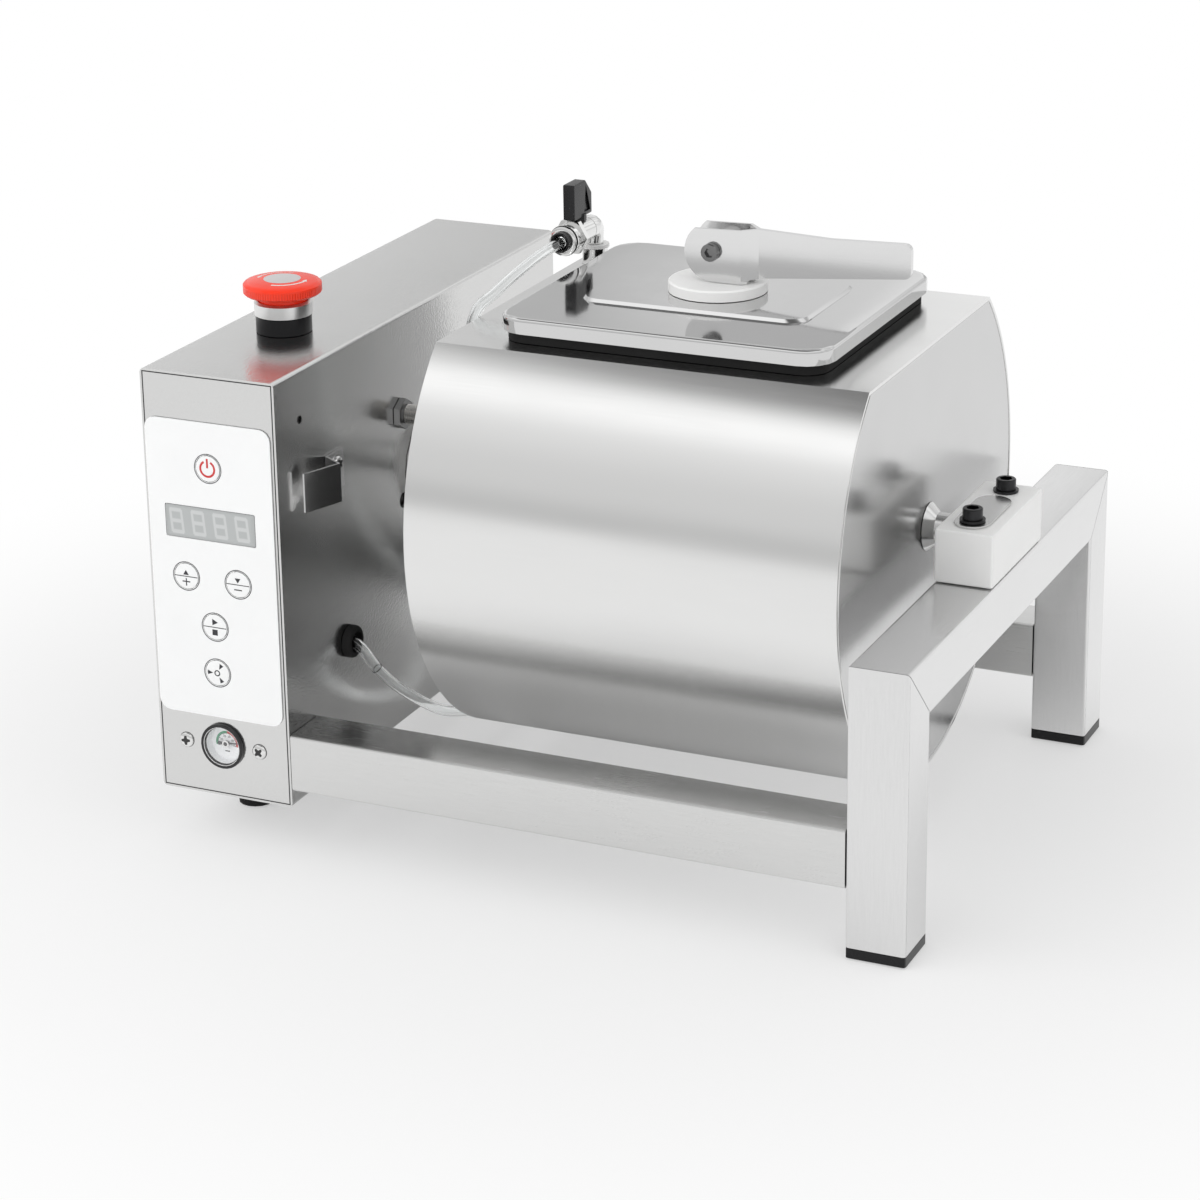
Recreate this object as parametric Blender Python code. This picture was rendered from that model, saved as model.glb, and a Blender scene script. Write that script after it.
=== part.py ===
"""Bench-top vacuum tumbler for marinating meat: control cabinet, tube frame and drum with a clamped lid.

Metres, +Z up. The drum's axis runs along X, the operator stands at -Y and the floor is Z = 0.
"""
import math

import bmesh
import bpy
from mathutils import Vector

# Overall sizes
LENGTH = 0.400
DEPTH = 0.320
HEIGHT = 0.305
GAP = 0.0003
PROUD = 0.002
BODY_DEPTH = DEPTH - 2 * PROUD
FRONT = -BODY_DEPTH / 2

# Fineness of round shapes, in steps per full turn
FINE = 64
ROUND = 28
SMALL = 16
TINY = 10
CORNER_STEPS = 4
MERGE = 0.00002
SHARP_ANGLE = math.radians(32)

# Which way a piece built along its own Z points once it is placed
TO_FRONT = (math.pi / 2, 0, 0)
TO_BACK = (-math.pi / 2, 0, 0)
TO_RIGHT = (0, math.pi / 2, 0)
SECTION_ALONG_X = (math.pi / 2, 0, math.pi / 2)

# Cabinet
CABINET_WIDTH = 0.075
CABINET_BOTTOM = 0.026
CABINET_TOP = 0.248
CABINET_LEFT = -LENGTH / 2
CABINET_RIGHT = CABINET_LEFT + CABINET_WIDTH
CABINET_X = CABINET_LEFT + CABINET_WIDTH / 2
SHEET = 0.0015
BEND = 0.0022

# Vents in the back cover
VENT_LENGTH = 0.036
VENT_WIDTH = 0.004
VENT_PITCH = 0.010
VENT_ROWS = 7
VENT_HEIGHT = 0.170

# Power inlet in the back cover
INLET_X = -0.162
INLET_HEIGHT = 0.066
INLET_WIDTH = 0.048
INLET_TALL = 0.030
INLET_BODY_WIDTH = 0.027
INLET_BODY_TALL = 0.022
INLET_BODY_DEPTH = 0.022
INLET_WELL_DEPTH = 0.016
INLET_WALL = 0.0018
PIN_WIDTH = 0.004
PIN_THICKNESS = 0.002
PIN_SPACING = 0.007
PIN_RISE = 0.002
PIN_REACH_SHARE = 0.65

# Control panel
PANEL_LEFT = -0.1985
PANEL_RIGHT = -0.128
PANEL_BOTTOM = 0.069
PANEL_TOP = 0.224
PANEL_THICKNESS = 0.0006
PANEL_CORNER = 0.006
PANEL_BACK = FRONT - GAP
DISPLAY_X = -0.16375
DISPLAY_HEIGHT = 0.17125
DISPLAY_WIDTH = 0.0505
DISPLAY_TALL = 0.0165
DISPLAY_CORNER = 0.001
DISPLAY_LAP = 0.002
KEY_RADIUS = 0.0067
KEY_CLEARANCE = 0.0004
KEY_TRAVEL = 0.0004
KEY_THICKNESS = 0.0006
KEY_STEM_RADIUS = 0.0024
KEY_DOME = 0.0003
KEYS = {
    "key_power": (-0.1635, 0.2005),
    "key_up": (-0.179, 0.1425),
    "key_down": (-0.1495, 0.142),
    "key_start": (-0.164, 0.1175),
    "key_vacuum": (-0.164, 0.093),
}

# Control board behind the panel
BOARD_THICKNESS = 0.0016
BOARD_STAND_OFF = 0.008
BOARD_WIDTH = 0.062
BOARD_BOTTOM = 0.076
BOARD_TOP = 0.216
POST_RADIUS = 0.003
POST_INSET = 0.006
SWITCH_SIDE = 0.006
SWITCH_HEIGHT = 0.0045
MODULE_WIDTH = 0.044
MODULE_TALL = 0.012

# Vacuum gauge
GAUGE_X = -0.1635
GAUGE_HEIGHT = 0.0535
BEZEL_RADIUS = 0.012
BEZEL_BORE = 0.0104
GAUGE_BODY_RADIUS = 0.0112
GAUGE_CAVITY = 0.0097
GAUGE_DEPTH = 0.016
GAUGE_WALL = 0.0015
GAUGE_STEM_RADIUS = 0.0038
GAUGE_STEM_LENGTH = 0.010
LENS_THICKNESS = 0.0009
DIAL_THICKNESS = 0.0005
DIAL_DEPTH = 0.0046
DIAL_SEAT_RADIUS = 0.0088
NEEDLE_LENGTH = 0.0086
NEEDLE_TAIL = 0.0042
NEEDLE_WIDTH = 0.0008
NEEDLE_TIP_SHARE = 0.35
NEEDLE_TAIL_SHARE = 0.65
NEEDLE_THICKNESS = 0.0004
NEEDLE_HUB_RADIUS = 0.0015
NEEDLE_PIN_RADIUS = 0.0005
NEEDLE_PIN_LENGTH = 0.0025
NEEDLE_TILT = math.radians(5.6)

# Emergency stop
STOP_X = -0.166
STOP_Y = -0.074
STOP_RING_RADIUS = 0.01425
STOP_RING_HEIGHT = 0.0086
STOP_COLLAR_RADIUS = 0.01475
STOP_COLLAR_HEIGHT = 0.0072
STOP_BORE = 0.0131
STOP_NECK_RADIUS = 0.0125
STOP_TRAVEL = 0.0028
STOP_NECK_SHOW = 0.0034
STOP_CAP_RADIUS = 0.020
STOP_RIM = 0.0060
STOP_DOME = 0.0018
STOP_EDGE = 0.0010
STOP_SOCKET_RADIUS = 0.0085
STOP_SOCKET_DEPTH = 0.0060
STOP_STEM_RADIUS = 0.0075
STOP_HOLE_RADIUS = 0.0112
STOP_BLOCK_WIDTH = 0.030
STOP_BLOCK_DEPTH = 0.040
STOP_BLOCK_HEIGHT = 0.034
STOP_BLOCK_BORE_DEPTH = 0.018
STOP_NECK_SHARE = 0.65
STOP_DOME_SHARES = (0.33, 0.65)

# Fittings on the cabinet's right wall
GROMMET_Y = -0.0935
GROMMET_HEIGHT = 0.0925
GROMMET_RADIUS = 0.0085
GROMMET_HOLE = 0.0070
GROMMET_NECK = 0.0066
GROMMET_BORE = 0.0056
GROMMET_PROUD = 0.0045
GROMMET_ROUNDING = 0.0020
PEEP_Y = -0.134
PEEP_HEIGHT = 0.223
PEEP_RADIUS = 0.0018
SPARE_Y = -0.029
SPARE_HEIGHT = 0.148
SPARE_RADIUS = 0.0038
SENSOR_Y = -0.030
SENSOR_HEIGHT = 0.196
SENSOR_RADIUS = 0.0050
SENSOR_TIP_RADIUS = 0.0042
SENSOR_TIP = 0.0035
SENSOR_PROUD = 0.017
SENSOR_LENGTH = 0.052
SENSOR_NUT_ACROSS = 0.0145
SENSOR_NUT_HEIGHT = 0.0035
CLIP_BOTTOM = 0.177
CLIP_TALL = 0.020
CLIP_THICKNESS = 0.0012
CLIP_TAB_BACK = -0.094
CLIP_BEND = -0.111
CLIP_CORNER = -0.118
CLIP_TIP = -0.139
CLIP_OUT = 0.0112
CLIP_TIP_OUT = 0.0032
CLIP_SCREW_Y = -0.1015
CLIP_SCREW_HEIGHT = 0.191
SCREW_RADIUS = 0.0019

# Drive and pump in the cabinet
GEARBOX_WIDTH = 0.046
GEARBOX_DEPTH = 0.058
GEARBOX_TALL = 0.052
GEARBOX_EDGE = 0.004
MOTOR_DROP = 0.006
MOTOR_RADIUS = 0.018
MOTOR_LENGTH = 0.072
MOTOR_CAP = 0.004
PUMP_X = -0.163
PUMP_Y = -0.020
PUMP_MOTOR_RADIUS = 0.019
PUMP_MOTOR_LENGTH = 0.060
PUMP_HEAD_WIDTH = 0.044
PUMP_HEAD_LENGTH = 0.034
PUMP_HEAD_TALL = 0.050
PUMP_CLEARANCE = 0.006
PUMP_FOOT_WIDTH = 0.048
PUMP_FOOT_LENGTH = 0.010
PUMP_PORT_RADIUS = 0.003
PUMP_PORT_LENGTH = 0.008

# Frame of square tube
TUBE = 0.030
TUBE_WALL = 0.0015
TUBE_CORNER = 0.0015
BEAM_TOP = 0.147
RAIL_BOTTOM = 0.035
LEG_X = LENGTH / 2 - TUBE / 2
LEG_Y = BODY_DEPTH / 2 - TUBE / 2
CAP_HEIGHT = 0.005
CAP_PLUG = 0.010
CAP_EDGE = 0.001

# Rubber feet under the cabinet
FOOT_X = -0.177
FOOT_Y = 0.105
FOOT_RADIUS = 0.011
FOOT_TOE_RADIUS = 0.0095
FOOT_RECESS = 0.003
FOOT_RECESS_DEPTH = 0.006

# Bearing block on the beam
BLOCK_LENGTH = 0.079
BLOCK_HEIGHT = 0.028
BLOCK_EDGE = 0.0015
BLOCK_BORE_DEPTH = 0.025
BOLT_SPACING = 0.052
BOLT_HEAD_RADIUS = 0.005
BOLT_HEAD_HEIGHT = 0.0055
BOLT_EDGE = 0.0004
BOLT_SOCKET_RADIUS = 0.0029
BOLT_SOCKET_DEPTH = 0.003
BOLT_RADIUS = 0.003
BOLT_HOLE_RADIUS = 0.0034
WASHER_RADIUS = 0.0064
WASHER_THICKNESS = 0.0012
SLOT_PLATE_WIDTH = 0.018
SLOT_PLATE_LENGTH = 0.050
SLOT_PLATE_THICKNESS = 0.0010

# Drum
DRUM_AXIS = BEAM_TOP + BLOCK_HEIGHT / 2
DRUM_RADIUS = 0.130
DRUM_SHEET = 0.0020
DRUM_LEFT = -0.072
DRUM_RIGHT = 0.154
DRUM_LENGTH = DRUM_RIGHT - DRUM_LEFT
FLAT_RISE = 0.095
SHAFT_RADIUS = 0.008
SHAFT_CLEARANCE = 0.0003
SHAFT_COLLAR_RADIUS = 0.0125
SHAFT_COLLAR = 0.004
SHAFT_INSIDE = 0.004
SHAFT_EDGE = 0.001
DRIVE_END = -0.172
BEARING_RADIUS = 0.026
BEARING_HUB_RADIUS = 0.016
BEARING_FLANGE = 0.005
BEARING_HUB = 0.012
BEARING_SPIGOT_RADIUS = 0.0128
BAFFLE_SWING = math.radians(52)
BAFFLE_HEIGHT = 0.026
BAFFLE_FOOT = 0.010
BAFFLE_THICKNESS = 0.002
BAFFLE_END_GAP = 0.012
BAFFLE_HOLE_RADIUS = 0.006
BAFFLE_HOLE_PITCH = 0.034
BAFFLE_HOLES = 5

# Lid over the mouth in the drum's flat
LID_X = 0.041
LID_LENGTH = 0.174
LID_WIDTH = 0.158
LID_CORNER = 0.015
LID_SHEET = 0.0015
LID_ROLL = 0.002
GASKET_SHOW = 0.0052
LID_SKIRT = 0.0080
PLATFORM_LENGTH = 0.121
PLATFORM_WIDTH = 0.078
PLATFORM_CORNER = 0.010
PLATFORM_RISE = 0.0016
PLATFORM_SLOPE = 0.0016
GASKET_INSET = 0.0028
GASKET_BAND = 0.010
MOUTH_LENGTH = 0.150
MOUTH_WIDTH = 0.134
MOUTH_CORNER = 0.014
GASKET_LIP = 0.006
GASKET_LIP_CLEARANCE = 0.0005
GASKET_LIP_BAND = 0.008
PRESSURE_PLATE_INSET = 0.0010
PRESSURE_PLATE_THICKNESS = 0.003
PRESSURE_RIB = 0.004
DISC_RADIUS = 0.025
DISC_HEIGHT = 0.0056
DISC_EDGE = 0.0008
LID_TOP = FLAT_RISE + GAP + GASKET_SHOW + LID_SKIRT
PLATFORM_TOP = LID_TOP + PLATFORM_RISE
DISC_TOP = PLATFORM_TOP + GAP + DISC_HEIGHT

# Cam lever of the lid clamp
CAM_REACH = 0.0155
CAM_STROKE = 0.0010
CAM_OPEN = math.radians(100)
CAM_STEPS = 20
CAM_FLAT = 0.018
PIVOT_RISE = DISC_TOP + GAP + CAM_REACH
EAR_TOP = 0.0112
EAR_SPAN = 0.0164
LEVER_SHEET = 0.0016
JOG_START = 0.0155
JOG_END = 0.0225
BLADE_TOP_ROOT = 0.0119
BLADE_TOP_WAIST = 0.0102
BLADE_TOP_END = 0.0114
BLADE_WAIST = 0.060
BLADE_LENGTH = 0.102
BLADE_BOTTOM_ROOT = 0.0138
BLADE_BOTTOM_MID = 0.0122
BLADE_BOTTOM_MID_X = 0.033
BLADE_BOTTOM_END = 0.0062
BLADE_END_ROUND = 0.0035
PIVOT_HOLE_RADIUS = 0.0031
PIVOT_BOLT_RADIUS = 0.0028
PIVOT_HEAD_RADIUS = 0.0046
PIVOT_HEAD_HEIGHT = 0.0030
PIVOT_NUT_HEIGHT = 0.0032
PIVOT_SOCKET_RADIUS = 0.0022
PIVOT_SOCKET_DEPTH = 0.0018
STUD_RADIUS = 0.005
STUD_HOLE_RADIUS = 0.0054
EYE_RADIUS = 0.0072
EYE_THICKNESS = 0.0118
STUD_NUT_ACROSS = 0.017
STUD_NUT_HEIGHT = 0.008
EYE_NECK_SHARE = 0.65

# Vacuum valve on the drum's flat
VALVE_X = -0.062
VALVE_Y = 0.078
VALVE_RISE = 0.116
BUNG_RADIUS = 0.0068
BUNG_HEIGHT = 0.008
BUNG_BORE = 0.0030
PORT_RADIUS = 0.0035
VALVE_WASHER_RADIUS = 0.0076
VALVE_WASHER = 0.0018
ELBOW_LEG_RADIUS = 0.0046
ELBOW_BODY_RADIUS = 0.0063
ELBOW_STEPS = 10
ELBOW_THREAD = 0.005
ELBOW_THREAD_RADIUS = 0.0027
VALVE_BODY_BACK = 0.0665
VALVE_BODY_FRONT = 0.050
VALVE_NUT_ACROSS = 0.0170
VALVE_NUT_LENGTH = 0.0035
VALVE_STEP_RADIUS = 0.0076
VALVE_STEP_LENGTH = 0.0025
VALVE_NECK_RADIUS = 0.0066
VALVE_FACE = 0.0405
HOSE_NUT_RADIUS = 0.0054
HOSE_NUT_FRONT = 0.0335
HOSE_NUT_BORE = 0.0034
HOSE_NUT_WELL = 0.0045
KNOB_Y = 0.0575
KNOB_WIDTH = 0.0066
KNOB_LENGTH = 0.022
KNOB_BOTTOM = 0.286
KNOB_BOSS_RADIUS = 0.0046
KNOB_BOSS = 0.0024
KNOB_TAIL = 0.0075
KNOB_TAIL_DROP = 0.0080
KNOB_EDGE = 0.0007
KNOB_FACET = 0.0022

# Vacuum hose, by points that its middle passes through
HOSE_RADIUS = 0.0029
HOSE_SPACING = 0.0120
HOSE_FACETS = 2
ROUTE_PIECES = 12
HOSE_ROUTE = (
    (-0.1240, -0.0936, 0.0934),
    (-0.1170, -0.0940, 0.0896),
    (-0.1090, -0.0940, 0.0800),
    (-0.1030, -0.0784, 0.0631),
    (-0.1000, -0.0463, 0.0411),
    (-0.0990, -0.0217, 0.0304),
    (-0.0980, 0.0038, 0.0226),
    (-0.0975, 0.0200, 0.0210),
    (-0.0970, 0.0380, 0.0310),
    (-0.0965, 0.0430, 0.0560),
    (-0.0950, 0.0260, 0.0830),
    (-0.0930, -0.0020, 0.1100),
    (-0.0900, -0.0250, 0.1400),
    (-0.0870, -0.0370, 0.1750),
    (-0.0830, -0.0410, 0.2100),
    (-0.0785, -0.0410, 0.2420),
    (-0.0742, -0.0390, 0.2590),
    (-0.0690, -0.0300, 0.2655),
    (-0.0650, -0.0110, 0.2720),
    (-0.0630, 0.0130, 0.2760),
    (-0.0620, 0.0360, 0.2770),
)

# Finishes: colour, roughness, metallic
BRUSHED_STEEL = ((0.62, 0.62, 0.60), 0.34, 1.0)
POLISHED_STEEL = ((0.74, 0.74, 0.73), 0.14, 1.0)
CAST_STEEL = ((0.42, 0.42, 0.43), 0.45, 1.0)
WHITE_FILM = ((0.86, 0.87, 0.87), 0.45, 0.0)
WHITE_NYLON = ((0.90, 0.90, 0.88), 0.38, 0.0)
WHITE_DIAL = ((0.88, 0.89, 0.90), 0.50, 0.0)
GREY_DISPLAY = ((0.55, 0.57, 0.57), 0.20, 0.0)
BLACK_PLASTIC = ((0.02, 0.02, 0.022), 0.40, 0.0)
BLACK_RUBBER = ((0.025, 0.025, 0.025), 0.75, 0.0)
BLACK_OXIDE = ((0.05, 0.05, 0.052), 0.35, 1.0)
RED_PLASTIC = ((0.62, 0.02, 0.02), 0.35, 0.0)
CLEAR_PLASTIC = ((0.80, 0.84, 0.84), 0.08, 0.0)
BOARD_GREEN = ((0.03, 0.18, 0.08), 0.50, 0.0)
MOTOR_PAINT = ((0.10, 0.10, 0.11), 0.45, 0.2)


def clear_scene():
    """Remove what a new file holds."""
    for item in list(bpy.data.objects):
        bpy.data.objects.remove(item)


# Outlines and meshes

def circle(radius, steps, centre=(0, 0)):
    """Points of a circle in the XY plane."""
    turns = [math.tau * i / steps for i in range(steps)]
    return [(centre[0] + radius * math.cos(t), centre[1] + radius * math.sin(t)) for t in turns]


def arc(centre, radius, start, end, steps):
    """Points along an arc from one angle to another, both ends included."""
    turns = [start + (end - start) * i / steps for i in range(steps + 1)]
    return [(centre[0] + radius * math.cos(t), centre[1] + radius * math.sin(t)) for t in turns]


def rounded_rectangle(width, height, radius, centre=(0, 0), steps=CORNER_STEPS):
    """Points of a rectangle with round corners, anticlockwise."""
    points = []
    for quarter, (side_x, side_y) in enumerate(((1, 1), (-1, 1), (-1, -1), (1, -1))):
        corner = (centre[0] + side_x * (width / 2 - radius), centre[1] + side_y * (height / 2 - radius))
        points += arc(corner, radius, quarter * math.pi / 2, (quarter + 1) * math.pi / 2, steps)
    return points


def obround(length, width, steps):
    """Points of a slot along X with round ends."""
    reach = (length - width) / 2
    right = arc((reach, 0), width / 2, -math.pi / 2, math.pi / 2, steps)
    left = arc((-reach, 0), width / 2, math.pi / 2, 3 * math.pi / 2, steps)
    return right + left


def hexagon(across):
    """Points of a hexagon, given its size across the flats."""
    return circle(across / math.sqrt(3), 6)


def moved(points, dx, dy):
    """The same outline somewhere else."""
    return [(x + dx, y + dy) for x, y in points]


def to_mesh(bm, name):
    """Close a bmesh into a mesh with outward faces, smooth where it is round."""
    bmesh.ops.recalc_face_normals(bm, faces=bm.faces)
    mesh = bpy.data.meshes.new(name)
    bm.to_mesh(mesh)
    bm.free()
    mesh.shade_smooth()
    mesh.set_sharp_from_angle(angle=SHARP_ANGLE)
    return mesh


def plate_bmesh(outline, thickness, holes=()):
    """Flat plate from z = 0 up, with holes through it."""
    bm = bmesh.new()
    for loop in (outline, *holes):
        ring = [bm.verts.new((x, y, 0)) for x, y in loop]
        for start, end in zip(ring, ring[1:] + ring[:1]):
            bm.edges.new((start, end))
    bmesh.ops.triangle_fill(bm, use_beauty=True, use_dissolve=False, edges=bm.edges[:])
    raised = bmesh.ops.extrude_face_region(bm, geom=bm.faces[:])["geom"]
    top = [item for item in raised if isinstance(item, bmesh.types.BMVert)]
    bmesh.ops.translate(bm, vec=(0, 0, thickness), verts=top)
    return bm


def plate(name, outline, thickness, holes=()):
    """Mesh of a flat plate."""
    return to_mesh(plate_bmesh(outline, thickness, holes), name)


def turned(name, profile, steps):
    """Solid of revolution about Z from (radius, height) points, hollow where it never meets the axis."""
    bm = bmesh.new()
    verts = [bm.verts.new((radius, 0, height)) for radius, height in profile]
    edges = [bm.edges.new(pair) for pair in zip(verts, verts[1:])]
    if min(radius for radius, height in profile) > 0:
        edges.append(bm.edges.new((verts[-1], verts[0])))
    bmesh.ops.spin(
        bm, geom=verts + edges, cent=(0, 0, 0), axis=(0, 0, 1), angle=math.tau, steps=steps, use_merge=True
    )
    bmesh.ops.remove_doubles(bm, verts=bm.verts[:], dist=MERGE)
    return to_mesh(bm, name)


def cylinder(name, radius, height, steps):
    """Cylinder from z = 0 up."""
    return turned(name, [(0, 0), (radius, 0), (radius, height), (0, height)], steps)


def block(name, size, edge=0):
    """Box centred on its origin, its edges rounded by the given width."""
    bm = bmesh.new()
    bmesh.ops.create_cube(bm, size=1)
    bmesh.ops.scale(bm, vec=size, verts=bm.verts[:])
    if edge:
        bmesh.ops.bevel(bm, geom=bm.edges[:], offset=edge, segments=2, profile=0.5, affect="EDGES")
    return to_mesh(bm, name)


def tube_section(side, wall, corner):
    """Outer and inner outline of a square tube."""
    inner_corner = max(corner - wall, 0) + wall / 3
    return (
        rounded_rectangle(side, side, corner, steps=2),
        rounded_rectangle(side - 2 * wall, side - 2 * wall, inner_corner, steps=2),
    )


# Objects

def finish_material(name, finish):
    """One Principled material for each part, with its own colour, roughness and metallic value."""
    colour, roughness, metallic = finish
    material = bpy.data.materials.new(name)
    material.use_nodes = True
    shader = material.node_tree.nodes["Principled BSDF"]
    shader.inputs["Base Color"].default_value = (*colour, 1)
    shader.inputs["Roughness"].default_value = roughness
    shader.inputs["Metallic"].default_value = metallic
    material.diffuse_color = (*colour, 1)
    return material


def add(name, mesh, finish, location=(0, 0, 0), rotation=(0, 0, 0), parent=None):
    """Place a sub-part as an object of its own."""
    item = bpy.data.objects.new(name, mesh)
    mesh.materials.append(finish_material(name, finish))
    bpy.context.collection.objects.link(item)
    item.location = location
    item.rotation_euler = rotation
    item.parent = parent
    return item


def empty(name, location, parent=None):
    """An axis or centre that pieces hang on."""
    item = bpy.data.objects.new(name, None)
    bpy.context.collection.objects.link(item)
    item.location = location
    item.parent = parent
    return item


def shape(item, tool_mesh, operation, location=(0, 0, 0), rotation=(0, 0, 0)):
    """Cut, join or intersect an object with a tool that is placed in the object's own space."""
    tool = bpy.data.objects.new(tool_mesh.name, tool_mesh)
    bpy.context.collection.objects.link(tool)
    tool.parent = item
    tool.location = location
    tool.rotation_euler = rotation
    tool.hide_render = True
    tool.display_type = "WIRE"
    modifier = item.modifiers.new(tool_mesh.name, "BOOLEAN")
    modifier.operation = operation
    modifier.solver = "EXACT"
    modifier.object = tool


def cut(item, tool_mesh, location=(0, 0, 0), rotation=(0, 0, 0)):
    """Take a tool's shape out of an object."""
    shape(item, tool_mesh, "DIFFERENCE", location, rotation)


def join(item, tool_mesh, location=(0, 0, 0), rotation=(0, 0, 0)):
    """Add a tool's shape to an object."""
    shape(item, tool_mesh, "UNION", location, rotation)


# Cabinet

def build_cabinet_shell():
    """Folded sheet box, open behind and below, with every hole that a fitting goes through."""
    height = CABINET_TOP - CABINET_BOTTOM
    outer = rounded_rectangle(CABINET_WIDTH, height, BEND, steps=3)
    shell = add(
        "cabinet_shell", plate("cabinet_shell", outer, BODY_DEPTH), BRUSHED_STEEL,
        (CABINET_X, BODY_DEPTH / 2, (CABINET_TOP + CABINET_BOTTOM) / 2), TO_FRONT,
    )
    hollow_height = height - SHEET + BEND
    hollow = block("cabinet_hollow", (CABINET_WIDTH - 2 * SHEET, hollow_height, BODY_DEPTH))
    cut(shell, hollow, (0, -SHEET / 2 - BEND / 2, BODY_DEPTH / 2 - SHEET))
    middle = (CABINET_TOP + CABINET_BOTTOM) / 2
    through = 4 * SHEET

    def front_hole(mesh, x, z):
        cut(shell, mesh, (x - CABINET_X, z - middle, BODY_DEPTH - 2 * SHEET))

    window = rounded_rectangle(
        DISPLAY_WIDTH - 2 * DISPLAY_LAP, DISPLAY_TALL - 2 * DISPLAY_LAP, DISPLAY_CORNER, steps=1
    )
    front_hole(plate("display_opening", window, through), DISPLAY_X, DISPLAY_HEIGHT)
    for name, (x, z) in KEYS.items():
        opening = cylinder(name + "_opening", KEY_STEM_RADIUS + 2 * KEY_CLEARANCE, through, TINY)
        front_hole(opening, x, z)
    front_hole(cylinder("gauge_opening", GAUGE_BODY_RADIUS + GAP, through, ROUND), GAUGE_X, GAUGE_HEIGHT)

    stop_hole = cylinder("stop_opening", STOP_HOLE_RADIUS, through, ROUND)
    top_of_shell = CABINET_TOP - middle + 2 * SHEET
    cut(shell, stop_hole, (STOP_X - CABINET_X, top_of_shell, BODY_DEPTH / 2 - STOP_Y), (math.pi / 2, 0, 0))

    wall_holes = (
        ("grommet_opening", GROMMET_HOLE, GROMMET_Y, GROMMET_HEIGHT),
        ("peep_opening", PEEP_RADIUS, PEEP_Y, PEEP_HEIGHT),
        ("spare_opening", SPARE_RADIUS, SPARE_Y, SPARE_HEIGHT),
        ("sensor_opening", SENSOR_RADIUS + GAP, SENSOR_Y, SENSOR_HEIGHT),
        ("clip_screw_opening", SCREW_RADIUS + GAP, CLIP_SCREW_Y, CLIP_SCREW_HEIGHT),
        ("bearing_opening", BEARING_SPIGOT_RADIUS + GAP, 0, DRUM_AXIS),
    )
    for name, radius, y, z in wall_holes:
        opening = cylinder(name, radius, through, SMALL)
        place = (CABINET_WIDTH / 2 - 2 * SHEET, z - middle, BODY_DEPTH / 2 - y)
        cut(shell, opening, place, TO_RIGHT)


def build_back_cover():
    """Flat cover in the open back, with vent slots and the power inlet's opening."""
    width = CABINET_WIDTH - 2 * (SHEET + GAP)
    bottom = CABINET_BOTTOM + SHEET + GAP
    top = CABINET_TOP - SHEET - GAP
    middle = (top + bottom) / 2
    slots = []
    for row in range(VENT_ROWS):
        rise = VENT_HEIGHT - middle + (row - (VENT_ROWS - 1) / 2) * VENT_PITCH
        slots.append(moved(obround(VENT_LENGTH, VENT_WIDTH, CORNER_STEPS), 0, rise))
    inlet = rounded_rectangle(INLET_BODY_WIDTH + 2 * GAP, INLET_BODY_TALL + 2 * GAP, GAP / 2, steps=1)
    slots.append(moved(inlet, INLET_X - CABINET_X, INLET_HEIGHT - middle))
    outline = rounded_rectangle(width, top - bottom, SHEET, steps=1)
    add(
        "cabinet_back_cover", plate("cabinet_back_cover", outline, SHEET, slots), BRUSHED_STEEL,
        (CABINET_X, BODY_DEPTH / 2, middle), TO_FRONT,
    )


def build_base_plate():
    """Plate that closes the cabinet's underside and carries the feet."""
    width = CABINET_WIDTH - 2 * (SHEET + GAP)
    length = BODY_DEPTH - SHEET - 2 * GAP
    centre_y = SHEET / 2
    holes = [
        circle(FOOT_RECESS, TINY, (FOOT_X - CABINET_X, side * FOOT_Y - centre_y)) for side in (-1, 1)
    ]
    outline = rounded_rectangle(width, length, SHEET, steps=1)
    add(
        "cabinet_base_plate", plate("cabinet_base_plate", outline, SHEET, holes), BRUSHED_STEEL,
        (CABINET_X, centre_y, CABINET_BOTTOM),
    )


def build_feet():
    """Rubber feet with a recess for the screw from below."""
    top = CABINET_BOTTOM - GAP
    profile = [
        (0, FOOT_RECESS_DEPTH), (FOOT_RECESS, FOOT_RECESS_DEPTH), (FOOT_RECESS, 0), (FOOT_TOE_RADIUS, 0),
        (FOOT_RADIUS, top - FOOT_RECESS_DEPTH), (FOOT_RADIUS, top), (0, top),
    ]
    for name, side in (("foot_front", -1), ("foot_back", 1)):
        add(name, turned(name, profile, SMALL), BLACK_RUBBER, (FOOT_X, side * FOOT_Y, 0))


def build_power_inlet():
    """Mains inlet with three flat pins in its well."""
    profile = rounded_rectangle(INLET_WIDTH, INLET_TALL, 2 * INLET_WALL)
    flange_front = BODY_DEPTH / 2 + GAP
    thickness = DEPTH / 2 - flange_front
    inlet = add(
        "power_inlet", plate("power_inlet", profile, thickness), BLACK_PLASTIC,
        (INLET_X, flange_front, INLET_HEIGHT), TO_BACK,
    )
    body = block("inlet_body", (INLET_BODY_WIDTH, INLET_BODY_TALL, INLET_BODY_DEPTH + thickness / 2))
    join(inlet, body, (0, 0, (thickness / 2 - INLET_BODY_DEPTH) / 2))
    well_size = (INLET_BODY_WIDTH - 2 * INLET_WALL, INLET_BODY_TALL - 2 * INLET_WALL, 2 * INLET_WELL_DEPTH)
    cut(inlet, block("inlet_well", well_size), (0, 0, thickness))
    pin_length = 2 * INLET_WELL_DEPTH * PIN_REACH_SHARE
    for name, side in (("pin_left", -1), ("pin_middle", 0), ("pin_right", 1)):
        pin = block(name, (PIN_THICKNESS, PIN_WIDTH, pin_length))
        rise = PIN_RISE if side == 0 else -PIN_RISE
        join(inlet, pin, (side * PIN_SPACING, rise, thickness - INLET_WELL_DEPTH))


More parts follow.
